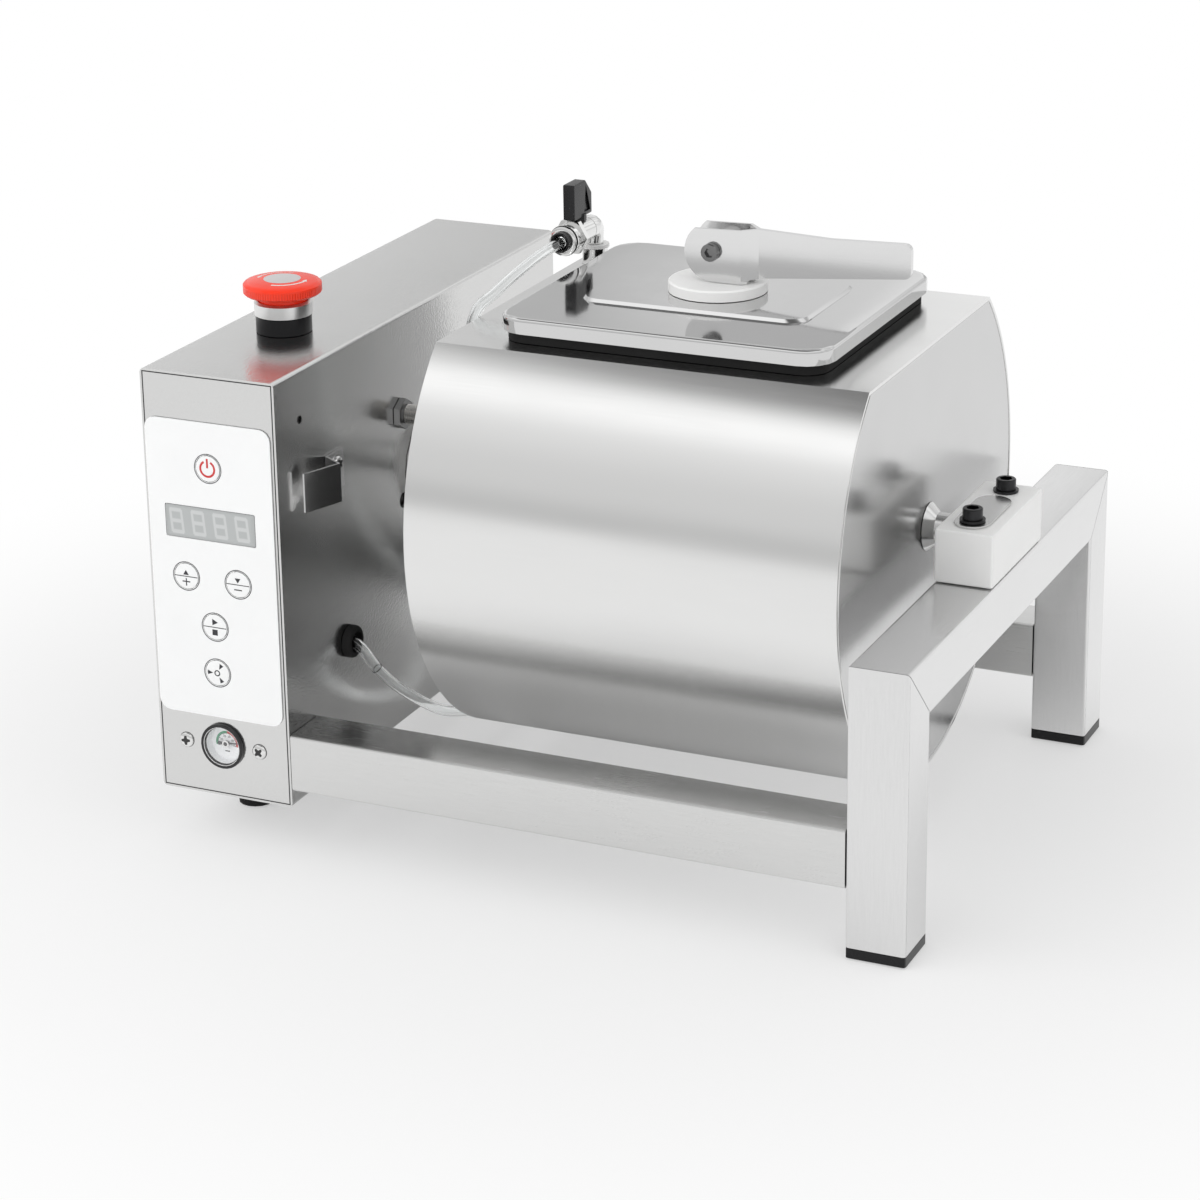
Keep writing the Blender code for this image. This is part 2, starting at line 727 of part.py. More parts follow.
def build_control_panel():
    """White membrane with openings for the display and the round keys."""
    width = PANEL_RIGHT - PANEL_LEFT
    height = PANEL_TOP - PANEL_BOTTOM
    centre_x = (PANEL_RIGHT + PANEL_LEFT) / 2
    centre_z = (PANEL_TOP + PANEL_BOTTOM) / 2
    holes = [
        circle(KEY_RADIUS + KEY_CLEARANCE, SMALL, (x - centre_x, z - centre_z)) for x, z in KEYS.values()
    ]
    window = rounded_rectangle(
        DISPLAY_WIDTH + 2 * GAP, DISPLAY_TALL + 2 * GAP, DISPLAY_CORNER,
        (DISPLAY_X - centre_x, DISPLAY_HEIGHT - centre_z),
    )
    outline = rounded_rectangle(width, height, PANEL_CORNER)
    add(
        "control_panel", plate("control_panel", outline, PANEL_THICKNESS, [*holes, window]), WHITE_FILM,
        (centre_x, PANEL_BACK, centre_z), TO_FRONT,
    )
    pane = rounded_rectangle(DISPLAY_WIDTH, DISPLAY_TALL, DISPLAY_CORNER)
    add(
        "display_window", plate("display_window", pane, PANEL_THICKNESS), GREY_DISPLAY,
        (DISPLAY_X, PANEL_BACK, DISPLAY_HEIGHT), TO_FRONT,
    )


def build_keys():
    """Domed key caps on stems that reach back to the switches."""
    face = PANEL_THICKNESS + KEY_TRAVEL
    back = face - KEY_THICKNESS
    stem_end = -(BOARD_STAND_OFF - SWITCH_HEIGHT) - SHEET + KEY_TRAVEL + 2 * GAP
    profile = [
        (0, stem_end), (KEY_STEM_RADIUS, stem_end), (KEY_STEM_RADIUS, back), (KEY_RADIUS, back),
        (KEY_RADIUS, face - KEY_DOME), (KEY_RADIUS - 2 * KEY_DOME, face), (0, face),
    ]
    for name, (x, z) in KEYS.items():
        add(name, turned(name, profile, SMALL), WHITE_FILM, (x, PANEL_BACK, z), TO_FRONT)


def build_control_board():
    """Board on four posts, with the display module and a switch behind each key."""
    centre_z = (BOARD_TOP + BOARD_BOTTOM) / 2
    height = BOARD_TOP - BOARD_BOTTOM
    face = FRONT + SHEET + BOARD_STAND_OFF
    outline = rounded_rectangle(BOARD_WIDTH, height, POST_INSET / 2, steps=2)
    board = add(
        "control_board", plate("control_board", outline, BOARD_THICKNESS), BOARD_GREEN,
        (CABINET_X, face + BOARD_THICKNESS, centre_z), TO_FRONT,
    )
    bite = BOARD_THICKNESS / 2
    module = block("display_module", (MODULE_WIDTH, MODULE_TALL, bite + BOARD_STAND_OFF - GAP))
    rise = BOARD_THICKNESS + (BOARD_STAND_OFF - GAP - bite) / 2
    join(board, module, (DISPLAY_X - CABINET_X, DISPLAY_HEIGHT - centre_z, rise))
    for name, (x, z) in KEYS.items():
        switch = block(name + "_switch", (SWITCH_SIDE, SWITCH_SIDE, bite + SWITCH_HEIGHT))
        place = (x - CABINET_X, z - centre_z, BOARD_THICKNESS + (SWITCH_HEIGHT - bite) / 2)
        join(board, switch, place)
    for side_x in (-1, 1):
        for side_z in (-1, 1):
            post = cylinder("post", POST_RADIUS, bite + BOARD_STAND_OFF - GAP, TINY)
            across = side_x * (BOARD_WIDTH / 2 - POST_INSET)
            along = side_z * (height / 2 - POST_INSET / 2 - POST_RADIUS)
            join(board, post, (across, along, bite))


def build_gauge():
    """Vacuum gauge: case with its bezel, dial and a needle on its pin."""
    centre = (GAUGE_X, FRONT, GAUGE_HEIGHT)
    shelf = PROUD - LENS_THICKNESS - 2 * GAP
    seat = -DIAL_DEPTH
    profile = [
        (BEZEL_BORE, PROUD), (BEZEL_RADIUS - GAP, PROUD), (BEZEL_RADIUS, PROUD - GAP), (BEZEL_RADIUS, GAP),
        (GAUGE_BODY_RADIUS, GAP), (GAUGE_BODY_RADIUS, -GAUGE_DEPTH),
        (GAUGE_STEM_RADIUS, -GAUGE_DEPTH), (GAUGE_STEM_RADIUS, -GAUGE_DEPTH - GAUGE_STEM_LENGTH),
        (0, -GAUGE_DEPTH - GAUGE_STEM_LENGTH), (0, GAUGE_WALL - GAUGE_DEPTH),
        (DIAL_SEAT_RADIUS, GAUGE_WALL - GAUGE_DEPTH), (DIAL_SEAT_RADIUS, seat),
        (GAUGE_CAVITY, seat), (GAUGE_CAVITY, shelf), (BEZEL_BORE, shelf), (BEZEL_BORE, PROUD),
    ]
    case = turned("gauge_case", profile, ROUND)
    add("gauge_case", case, BLACK_PLASTIC, centre, TO_FRONT)
    pin_hole = circle(NEEDLE_PIN_RADIUS + GAP, TINY)
    dial = plate("gauge_dial", circle(GAUGE_CAVITY - GAP, ROUND), DIAL_THICKNESS, [pin_hole])
    add("gauge_dial", dial, WHITE_DIAL, (GAUGE_X, FRONT - seat - GAP, GAUGE_HEIGHT), TO_FRONT)
    build_needle(-seat - GAP - DIAL_THICKNESS)


def build_needle(dial_face):
    """Pointer with a tapered arm, a round tail and a pin through the dial."""
    height = FRONT + dial_face - 2 * GAP
    tip = NEEDLE_WIDTH * NEEDLE_TIP_SHARE / 2
    arm = [(NEEDLE_LENGTH, -tip), (NEEDLE_LENGTH, tip), (0, NEEDLE_WIDTH / 2)]
    tail_radius = NEEDLE_HUB_RADIUS * NEEDLE_TAIL_SHARE
    tail = arc((-NEEDLE_TAIL, 0), tail_radius, math.pi / 3, 5 * math.pi / 3, TINY)
    outline = arm + tail + [(0, -NEEDLE_WIDTH / 2)]
    needle = add(
        "gauge_needle", plate("gauge_needle", outline, NEEDLE_THICKNESS), BLACK_PLASTIC,
        (GAUGE_X, height, GAUGE_HEIGHT), (math.pi / 2, -NEEDLE_TILT, 0),
    )
    hub_top = NEEDLE_THICKNESS + 2 * GAP
    hub = [
        (0, -NEEDLE_PIN_LENGTH), (NEEDLE_PIN_RADIUS, -NEEDLE_PIN_LENGTH), (NEEDLE_PIN_RADIUS, -GAP / 2),
        (NEEDLE_HUB_RADIUS, -GAP / 2), (NEEDLE_HUB_RADIUS, hub_top), (0, hub_top),
    ]
    join(needle, turned("needle_hub", hub, TINY))


def build_emergency_stop():
    """Ring and collar on the cabinet's top, plunger stem, mushroom cap and the contact block below."""
    base = CABINET_TOP + GAP
    ring = [
        (STOP_BORE, 0), (STOP_RING_RADIUS, 0), (STOP_RING_RADIUS, STOP_RING_HEIGHT - GAP),
        (STOP_RING_RADIUS - GAP, STOP_RING_HEIGHT), (STOP_BORE, STOP_RING_HEIGHT),
    ]
    ring_mesh = turned("estop_base_ring", ring, ROUND)
    add("estop_base_ring", ring_mesh, BLACK_PLASTIC, (STOP_X, STOP_Y, base))
    collar_base = base + STOP_RING_HEIGHT + GAP
    collar = [
        (STOP_BORE, 0), (STOP_COLLAR_RADIUS, 0), (STOP_COLLAR_RADIUS, STOP_COLLAR_HEIGHT - STOP_EDGE),
        (STOP_COLLAR_RADIUS - STOP_EDGE, STOP_COLLAR_HEIGHT), (STOP_BORE, STOP_COLLAR_HEIGHT),
    ]
    collar_mesh = turned("estop_collar", collar, ROUND)
    add("estop_collar", collar_mesh, POLISHED_STEEL, (STOP_X, STOP_Y, collar_base))

    collar_top = collar_base + STOP_COLLAR_HEIGHT
    axis = empty("estop_axis", (STOP_X, STOP_Y, collar_top))
    under = STOP_NECK_SHOW
    neck_end = -STOP_COLLAR_HEIGHT * STOP_NECK_SHARE
    rim_top = under + STOP_RIM
    cap = [
        (STOP_SOCKET_RADIUS, neck_end), (STOP_NECK_RADIUS, neck_end), (STOP_NECK_RADIUS, under),
        (STOP_CAP_RADIUS - STOP_EDGE, under), (STOP_CAP_RADIUS, under + STOP_EDGE),
        (STOP_CAP_RADIUS, rim_top - STOP_EDGE), (STOP_CAP_RADIUS - STOP_EDGE, rim_top),
        (STOP_CAP_RADIUS - 3 * STOP_EDGE, rim_top + STOP_DOME * STOP_DOME_SHARES[0]),
        (STOP_NECK_RADIUS, rim_top + STOP_DOME * STOP_DOME_SHARES[1]), (0, rim_top + STOP_DOME),
        (0, neck_end + STOP_SOCKET_DEPTH), (STOP_SOCKET_RADIUS, neck_end + STOP_SOCKET_DEPTH),
        (STOP_SOCKET_RADIUS, neck_end),
    ]
    add("estop_mushroom", turned("estop_mushroom", cap, ROUND), RED_PLASTIC, parent=axis)

    block_top = CABINET_TOP - SHEET - GAP
    stem_top = neck_end + STOP_SOCKET_DEPTH - GAP
    stem_bottom = block_top - collar_top - STOP_BLOCK_BORE_DEPTH + STOP_TRAVEL + 2 * GAP
    stem = [
        (0, stem_bottom), (STOP_STEM_RADIUS, stem_bottom), (STOP_STEM_RADIUS, neck_end - 2 * GAP),
        (STOP_STEM_RADIUS, stem_top), (0, stem_top),
    ]
    add("estop_stem", turned("estop_stem", stem, SMALL), BLACK_PLASTIC, parent=axis)

    contact = add(
        "estop_contact_block",
        block("estop_contact_block", (STOP_BLOCK_WIDTH, STOP_BLOCK_DEPTH, STOP_BLOCK_HEIGHT), STOP_EDGE),
        BLACK_PLASTIC, (STOP_X, STOP_Y, block_top - STOP_BLOCK_HEIGHT / 2),
    )
    spigot = cylinder("block_spigot", STOP_HOLE_RADIUS - GAP, SHEET + 2 * GAP + STOP_EDGE, SMALL)
    join(contact, spigot, (0, 0, STOP_BLOCK_HEIGHT / 2 - STOP_EDGE))
    bore = cylinder("block_bore", STOP_STEM_RADIUS + GAP, STOP_BLOCK_BORE_DEPTH + STOP_BLOCK_HEIGHT, SMALL)
    cut(contact, bore, (0, 0, STOP_BLOCK_HEIGHT / 2 - STOP_BLOCK_BORE_DEPTH))


def build_wall_fittings():
    """Grommet, threaded sensor and bent hose clip on the cabinet's right wall."""
    wall = CABINET_RIGHT
    outer = GROMMET_RADIUS - GROMMET_ROUNDING
    front = GAP + GROMMET_PROUD
    inner_face = -SHEET - GAP
    grommet = [(GROMMET_BORE, front)]
    grommet += arc((outer, front - GROMMET_ROUNDING), GROMMET_ROUNDING, math.pi / 2, 0, 4)
    grommet += [
        (GROMMET_RADIUS, GAP), (GROMMET_NECK, GAP), (GROMMET_NECK, inner_face), (GROMMET_RADIUS, inner_face),
        (GROMMET_RADIUS, inner_face - GROMMET_ROUNDING), (GROMMET_BORE, inner_face - GROMMET_ROUNDING),
    ]
    add(
        "hose_grommet", turned("hose_grommet", grommet, SMALL), BLACK_RUBBER,
        (wall, GROMMET_Y, GROMMET_HEIGHT), TO_RIGHT,
    )

    sensor = [
        (0, SENSOR_PROUD - SENSOR_LENGTH), (SENSOR_RADIUS, SENSOR_PROUD - SENSOR_LENGTH),
        (SENSOR_RADIUS, SENSOR_PROUD - SENSOR_TIP), (SENSOR_TIP_RADIUS, SENSOR_PROUD - SENSOR_TIP),
        (SENSOR_TIP_RADIUS, SENSOR_PROUD - GAP), (SENSOR_TIP_RADIUS - GAP, SENSOR_PROUD), (0, SENSOR_PROUD),
    ]
    probe = add(
        "position_sensor", turned("position_sensor", sensor, SMALL), CAST_STEEL,
        (wall, SENSOR_Y, SENSOR_HEIGHT), TO_RIGHT,
    )
    for name, start in (("outer_nut", GAP), ("inner_nut", -SHEET - GAP - SENSOR_NUT_HEIGHT)):
        join(probe, plate(name, hexagon(SENSOR_NUT_ACROSS), SENSOR_NUT_HEIGHT), (0, 0, start))

    inner = [
        (GAP, CLIP_TAB_BACK), (GAP, CLIP_BEND), (CLIP_OUT, CLIP_CORNER), (CLIP_TIP_OUT, CLIP_TIP),
    ]
    clip = add(
        "hose_clip", plate("hose_clip", bent_strip(inner, CLIP_THICKNESS), CLIP_TALL), BRUSHED_STEEL,
        (wall, 0, CLIP_BOTTOM),
    )
    screw_hole = cylinder("clip_hole", SCREW_RADIUS + GAP, 4 * CLIP_THICKNESS, TINY)
    cut(clip, screw_hole, (-CLIP_THICKNESS, CLIP_SCREW_Y, CLIP_SCREW_HEIGHT - CLIP_BOTTOM), TO_RIGHT)


def bent_strip(line, thickness):
    """Outline of a strip of even thickness whose inner side follows a line."""
    points = [Vector(point) for point in line]
    offset = []
    for i, point in enumerate(points):
        before = (point - points[i - 1]).normalized() if i else None
        after = (points[i + 1] - point).normalized() if i + 1 < len(points) else None
        sides = [Vector((-d.y, d.x)) for d in (before, after) if d]
        middle = sum(sides, Vector((0, 0))).normalized()
        offset.append(point + middle * (thickness / middle.dot(sides[0])))
    return [tuple(p) for p in points] + [tuple(p) for p in reversed(offset)]


def build_drive():
    """Worm gearbox on the right wall, its motor lying towards the back, and the flange bearing outside."""
    box_x = CABINET_RIGHT - SHEET - GAP - GEARBOX_WIDTH / 2
    housing = block("gearmotor", (GEARBOX_WIDTH, GEARBOX_DEPTH, GEARBOX_TALL), GEARBOX_EDGE)
    gearmotor = add("gearmotor", housing, CAST_STEEL, (box_x, 0, DRUM_AXIS))
    motor_profile = [
        (0, 0), (MOTOR_RADIUS, 0), (MOTOR_RADIUS, MOTOR_LENGTH - MOTOR_CAP),
        (MOTOR_RADIUS - MOTOR_CAP, MOTOR_LENGTH), (0, MOTOR_LENGTH),
    ]
    motor_start = GEARBOX_DEPTH / 2 - GEARBOX_EDGE
    join(gearmotor, turned("motor", motor_profile, SMALL), (0, motor_start, -MOTOR_DROP), TO_BACK)
    bore = cylinder("shaft_bore", SHAFT_RADIUS + SHAFT_CLEARANCE, 2 * GEARBOX_WIDTH, SMALL)
    cut(gearmotor, bore, (-GEARBOX_WIDTH, 0, 0), TO_RIGHT)

    flange = [
        (SHAFT_RADIUS + SHAFT_CLEARANCE, -SHEET), (BEARING_SPIGOT_RADIUS, -SHEET),
        (BEARING_SPIGOT_RADIUS, GAP), (BEARING_RADIUS, GAP), (BEARING_RADIUS, BEARING_FLANGE),
        (BEARING_HUB_RADIUS, BEARING_FLANGE + GAP), (BEARING_HUB_RADIUS - SHAFT_EDGE, BEARING_HUB),
        (SHAFT_RADIUS + SHAFT_CLEARANCE, BEARING_HUB),
    ]
    add(
        "wall_bearing", turned("wall_bearing", flange, SMALL), WHITE_NYLON,
        (CABINET_RIGHT, 0, DRUM_AXIS), TO_RIGHT,
    )


def build_pump():
    """Diaphragm vacuum pump that stands on the base plate."""
    floor = CABINET_BOTTOM + SHEET + GAP
    axis_height = floor + PUMP_CLEARANCE + PUMP_MOTOR_RADIUS
    pump = add(
        "vacuum_pump", cylinder("vacuum_pump", PUMP_MOTOR_RADIUS, PUMP_MOTOR_LENGTH, SMALL), MOTOR_PAINT,
        (PUMP_X, PUMP_Y - PUMP_MOTOR_LENGTH / 2, axis_height), TO_BACK,
    )
    head = block("pump_head", (PUMP_HEAD_WIDTH, PUMP_HEAD_TALL, PUMP_HEAD_LENGTH), GEARBOX_EDGE / 2)
    head_rise = (PUMP_HEAD_TALL - 2 * PUMP_MOTOR_RADIUS) / 2 - PUMP_CLEARANCE / 2
    join(pump, head, (0, -head_rise, PUMP_MOTOR_LENGTH + PUMP_HEAD_LENGTH / 2 - GEARBOX_EDGE))
    foot_height = PUMP_CLEARANCE + PUMP_MOTOR_RADIUS / 2
    back_foot = PUMP_MOTOR_LENGTH - PUMP_FOOT_LENGTH
    for name, along in (("pump_foot_front", PUMP_FOOT_LENGTH), ("pump_foot_back", back_foot)):
        foot = block(name, (PUMP_FOOT_WIDTH, foot_height, PUMP_FOOT_LENGTH))
        join(pump, foot, (0, axis_height - floor - foot_height / 2, along))
    for name, side in (("port_in", -1), ("port_out", 1)):
        port = cylinder(name, PUMP_PORT_RADIUS, PUMP_PORT_LENGTH + GEARBOX_EDGE, TINY)
        top = -head_rise - PUMP_HEAD_TALL / 2 + GEARBOX_EDGE
        place = (side * PUMP_HEAD_WIDTH / 4, top, PUMP_MOTOR_LENGTH + PUMP_HEAD_LENGTH / 2)
        join(pump, port, place, (math.pi / 2, 0, 0))


# Frame

def mitred_tube(name, length, mitre_start, mitre_end):
    """Square tube from z = 0 up, whose chosen ends are cut at 45 degrees and are longest at +Y."""
    outer, inner = tube_section(TUBE, TUBE_WALL, TUBE_CORNER)
    bm = plate_bmesh(outer, length, [inner])
    for vert in bm.verts:
        top = vert.co.z > length / 2
        short = TUBE / 2 - vert.co.y
        if top and mitre_end:
            vert.co.z -= short
        if not top and mitre_start:
            vert.co.z += short
    return to_mesh(bm, name)


def build_frame():
    """Two rails, two legs with caps and the cross beam, mitred where the beam meets the legs."""
    rail_length = LEG_X - TUBE / 2 - CABINET_RIGHT - 2 * GAP
    leg_length = BEAM_TOP - CAP_HEIGHT - GAP
    for word, side in (("front", -1), ("back", 1)):
        y = side * LEG_Y
        add(
            "rail_" + word, mitred_tube("rail_" + word, rail_length, False, False), BRUSHED_STEEL,
            (CABINET_RIGHT + GAP, y, RAIL_BOTTOM + TUBE / 2), TO_RIGHT,
        )
        turn = (0, 0, 0) if side > 0 else (0, 0, math.pi)
        add(
            "leg_" + word, mitred_tube("leg_" + word, leg_length, False, True), BRUSHED_STEEL,
            (LEG_X, y, CAP_HEIGHT + GAP), turn,
        )
        build_leg_cap("leg_cap_" + word, y)
    mitre_gap = GAP * math.sqrt(2)
    beam_length = BODY_DEPTH - 2 * mitre_gap
    beam = add(
        "beam", mitred_tube("beam", beam_length, True, True), BRUSHED_STEEL,
        (LEG_X, beam_length / 2, BEAM_TOP - TUBE / 2), TO_FRONT,
    )
    for side in (-1, 1):
        hole = cylinder("bolt_hole", BOLT_HOLE_RADIUS, 4 * TUBE_WALL, TINY)
        place = (0, TUBE / 2 + 2 * TUBE_WALL, beam_length / 2 - side * BOLT_SPACING / 2)
        cut(beam, hole, place, (math.pi / 2, 0, 0))


def build_leg_cap(name, y):
    """Plastic cap under a leg, with a plug that goes up into the tube."""
    plug_side = TUBE - 2 * TUBE_WALL - 2 * GAP
    foot = rounded_rectangle(TUBE, TUBE, TUBE_CORNER, steps=2)
    cap = add(name, plate(name, foot, CAP_HEIGHT), BLACK_PLASTIC, (LEG_X, y, 0))
    outline = rounded_rectangle(plug_side, plug_side, TUBE_CORNER, steps=2)
    plug = plate(name + "_plug", outline, CAP_PLUG + CAP_EDGE)
    join(cap, plug, (0, 0, CAP_HEIGHT - CAP_EDGE))


def build_bearing_block():
    """White block that carries the drum's right shaft, held down by two socket screws."""
    base = BEAM_TOP + GAP
    height = BLOCK_HEIGHT - GAP
    bearing = add(
        "bearing_block", block("bearing_block", (TUBE, BLOCK_LENGTH, height), BLOCK_EDGE), WHITE_NYLON,
        (LEG_X, 0, base + height / 2),
    )
    bore = cylinder("block_shaft_bore", SHAFT_RADIUS + SHAFT_CLEARANCE, 2 * BLOCK_BORE_DEPTH, SMALL)
    cut(bearing, bore, (-TUBE / 2 - BLOCK_BORE_DEPTH, 0, DRUM_AXIS - base - height / 2), TO_RIGHT)
    for side in (-1, 1):
        hole = cylinder("screw_hole", BOLT_HOLE_RADIUS, 2 * BLOCK_HEIGHT, TINY)
        cut(bearing, hole, (0, side * BOLT_SPACING / 2, -BLOCK_HEIGHT))

    top = BEAM_TOP + BLOCK_HEIGHT
    plate_reach = SLOT_PLATE_LENGTH / 2 - SLOT_PLATE_WIDTH / 2
    screw_hole = circle(BOLT_HOLE_RADIUS, TINY, (-plate_reach, 0))
    outline = obround(SLOT_PLATE_LENGTH, SLOT_PLATE_WIDTH, 2 * CORNER_STEPS)
    add(
        "bearing_plate", plate("bearing_plate", outline, SLOT_PLATE_THICKNESS, [screw_hole]), BRUSHED_STEEL,
        (LEG_X, plate_reach - BOLT_SPACING / 2, top + GAP), (0, 0, math.pi / 2),
    )
    build_block_screw("block_screw_front", -BOLT_SPACING / 2, top + SLOT_PLATE_THICKNESS + 2 * GAP)
    build_block_screw("block_screw_back", BOLT_SPACING / 2, top + GAP)


def build_block_screw(name, y, seat):
    """Socket cap screw with its washer, from the seat down through block and beam."""
    reach = seat - BEAM_TOP + 3 * TUBE_WALL
    head_base = WASHER_THICKNESS
    head_top = head_base + BOLT_HEAD_HEIGHT
    profile = [
        (0, -reach), (BOLT_RADIUS, -reach), (BOLT_RADIUS, 0), (WASHER_RADIUS, 0),
        (WASHER_RADIUS, WASHER_THICKNESS), (BOLT_HEAD_RADIUS, WASHER_THICKNESS),
        (BOLT_HEAD_RADIUS, head_top - BOLT_EDGE), (BOLT_HEAD_RADIUS - BOLT_EDGE, head_top), (0, head_top),
    ]
    screw = add(name, turned(name, profile, SMALL), BLACK_OXIDE, (LEG_X, y, seat))
    socket = plate(name + "_socket", hexagon(2 * BOLT_SOCKET_RADIUS), 2 * BOLT_SOCKET_DEPTH)
    cut(screw, socket, (0, 0, head_top - BOLT_SOCKET_DEPTH))


# Drum

def drum_outline(inset):
    """Round outline with a flat on top, a given distance inside the drum's outer surface."""
    radius = DRUM_RADIUS - inset
    flat = FLAT_RISE - inset
    half_gap = math.acos(flat / radius)
    start = math.pi / 2 + half_gap
    end = math.pi / 2 - half_gap + math.tau
    return arc((0, 0), radius, start, end, FINE)


def build_drum(axis):
    """Rolled shell with a flat and the lid's mouth, two end plates, two shafts and the baffles."""
    shell = add(
        "drum_shell", plate("drum_shell", drum_outline(0), DRUM_LENGTH, [drum_outline(DRUM_SHEET)]),
        POLISHED_STEEL, (DRUM_LEFT, 0, 0), SECTION_ALONG_X, axis,
    )
    mouth = plate("mouth", rounded_rectangle(MOUTH_WIDTH, MOUTH_LENGTH, MOUTH_CORNER), 4 * DRUM_SHEET)
    mouth_place = (0, FLAT_RISE + DRUM_SHEET, LID_X - DRUM_LEFT)
    cut(shell, mouth, mouth_place, (math.pi / 2, 0, 0))
    port = cylinder("port", PORT_RADIUS, 4 * DRUM_SHEET, TINY)
    cut(shell, port, (VALVE_Y, FLAT_RISE + DRUM_SHEET, VALVE_X - DRUM_LEFT), (math.pi / 2, 0, 0))

    inner = drum_outline(DRUM_SHEET + GAP)
    shaft_hole = circle(SHAFT_RADIUS + GAP, SMALL)
    for name, x in (("drum_end_left", DRUM_LEFT), ("drum_end_right", DRUM_RIGHT - DRUM_SHEET)):
        disc = plate(name, inner, DRUM_SHEET, [shaft_hole])
        add(name, disc, POLISHED_STEEL, (x, 0, 0), SECTION_ALONG_X, axis)

    build_shaft("drive_shaft", DRUM_LEFT, DRUM_LEFT - DRIVE_END, -1, axis)
    block_end = LEG_X - TUBE / 2 + BLOCK_BORE_DEPTH - SHAFT_EDGE
    build_shaft("support_shaft", DRUM_RIGHT, block_end - DRUM_RIGHT, 1, axis)
    build_baffles(axis)


def build_shaft(name, face, length, side, axis):
    """Shaft that starts inside an end plate, with a tapered weld collar against the plate's outer face."""
    tail = -DRUM_SHEET - SHAFT_INSIDE
    profile = [
        (0, tail), (SHAFT_RADIUS, tail), (SHAFT_RADIUS, GAP), (SHAFT_COLLAR_RADIUS, GAP),
        (SHAFT_RADIUS + SHAFT_EDGE, SHAFT_COLLAR), (SHAFT_RADIUS, SHAFT_COLLAR + SHAFT_EDGE),
        (SHAFT_RADIUS, length - SHAFT_EDGE), (SHAFT_RADIUS - SHAFT_EDGE, length), (0, length),
    ]
    add(name, turned(name, profile, SMALL), POLISHED_STEEL, (face, 0, 0), (0, side * math.pi / 2, 0), axis)


def build_baffles(axis):
    """Lifting ribs folded from sheet along the drum's inner wall, pierced by a row of holes."""
    length = DRUM_LENGTH - 2 * DRUM_SHEET - 2 * BAFFLE_END_GAP
    wall = DRUM_RADIUS - DRUM_SHEET
    foot_edge = math.sqrt((wall - GAP) ** 2 - BAFFLE_FOOT ** 2)
    foot = foot_edge - BAFFLE_THICKNESS
    rib = foot_edge - BAFFLE_HEIGHT
    section = [
        (foot_edge, -BAFFLE_FOOT), (foot_edge, BAFFLE_THICKNESS / 2), (rib, BAFFLE_THICKNESS / 2),
        (rib, -BAFFLE_THICKNESS / 2), (foot, -BAFFLE_THICKNESS / 2), (foot, -BAFFLE_FOOT),
    ]
    start_x = DRUM_LEFT + DRUM_SHEET + BAFFLE_END_GAP
    for name, side in (("baffle_front", -1), ("baffle_back", 1)):
        holder = empty(name + "_angle", (start_x, 0, 0), axis)
        holder.rotation_euler = (-math.pi / 2 + side * BAFFLE_SWING, 0, 0)
        baffle = add(name, plate(name, section, length), BRUSHED_STEEL, (0, 0, 0), SECTION_ALONG_X, holder)
        for i in range(BAFFLE_HOLES):
            along = length / 2 + (i - (BAFFLE_HOLES - 1) / 2) * BAFFLE_HOLE_PITCH
            hole = cylinder(name + "_hole", BAFFLE_HOLE_RADIUS, 4 * BAFFLE_THICKNESS, TINY)
            middle = (foot + rib) / 2
            cut(baffle, hole, (middle, 2 * BAFFLE_THICKNESS, along), (math.pi / 2, 0, 0))


def build_valve(axis):
    """Bung on the flat, elbow, ball valve body, hose fitting and the quarter-turn knob."""
    bung = [
        (BUNG_BORE, 0), (BUNG_RADIUS, 0), (BUNG_RADIUS, BUNG_HEIGHT), (BUNG_BORE, BUNG_HEIGHT),
    ]
    bung_base = FLAT_RISE + GAP
    bung_mesh = turned("valve_bung", bung, SMALL)
    add("valve_bung", bung_mesh, POLISHED_STEEL, (VALVE_X, VALVE_Y, bung_base), parent=axis)
    washer = [
        (ELBOW_THREAD_RADIUS + GAP, 0), (VALVE_WASHER_RADIUS, 0), (VALVE_WASHER_RADIUS, VALVE_WASHER),
        (ELBOW_THREAD_RADIUS + GAP, VALVE_WASHER),
    ]
    washer_base = bung_base + BUNG_HEIGHT + GAP
    add(
        "valve_washer", turned("valve_washer", washer, SMALL), WHITE_NYLON,
        (VALVE_X, VALVE_Y, washer_base), parent=axis,
    )
    leg_base = washer_base + VALVE_WASHER + GAP
    build_elbow(axis, leg_base)
    build_valve_body(axis)
    build_knob(axis)


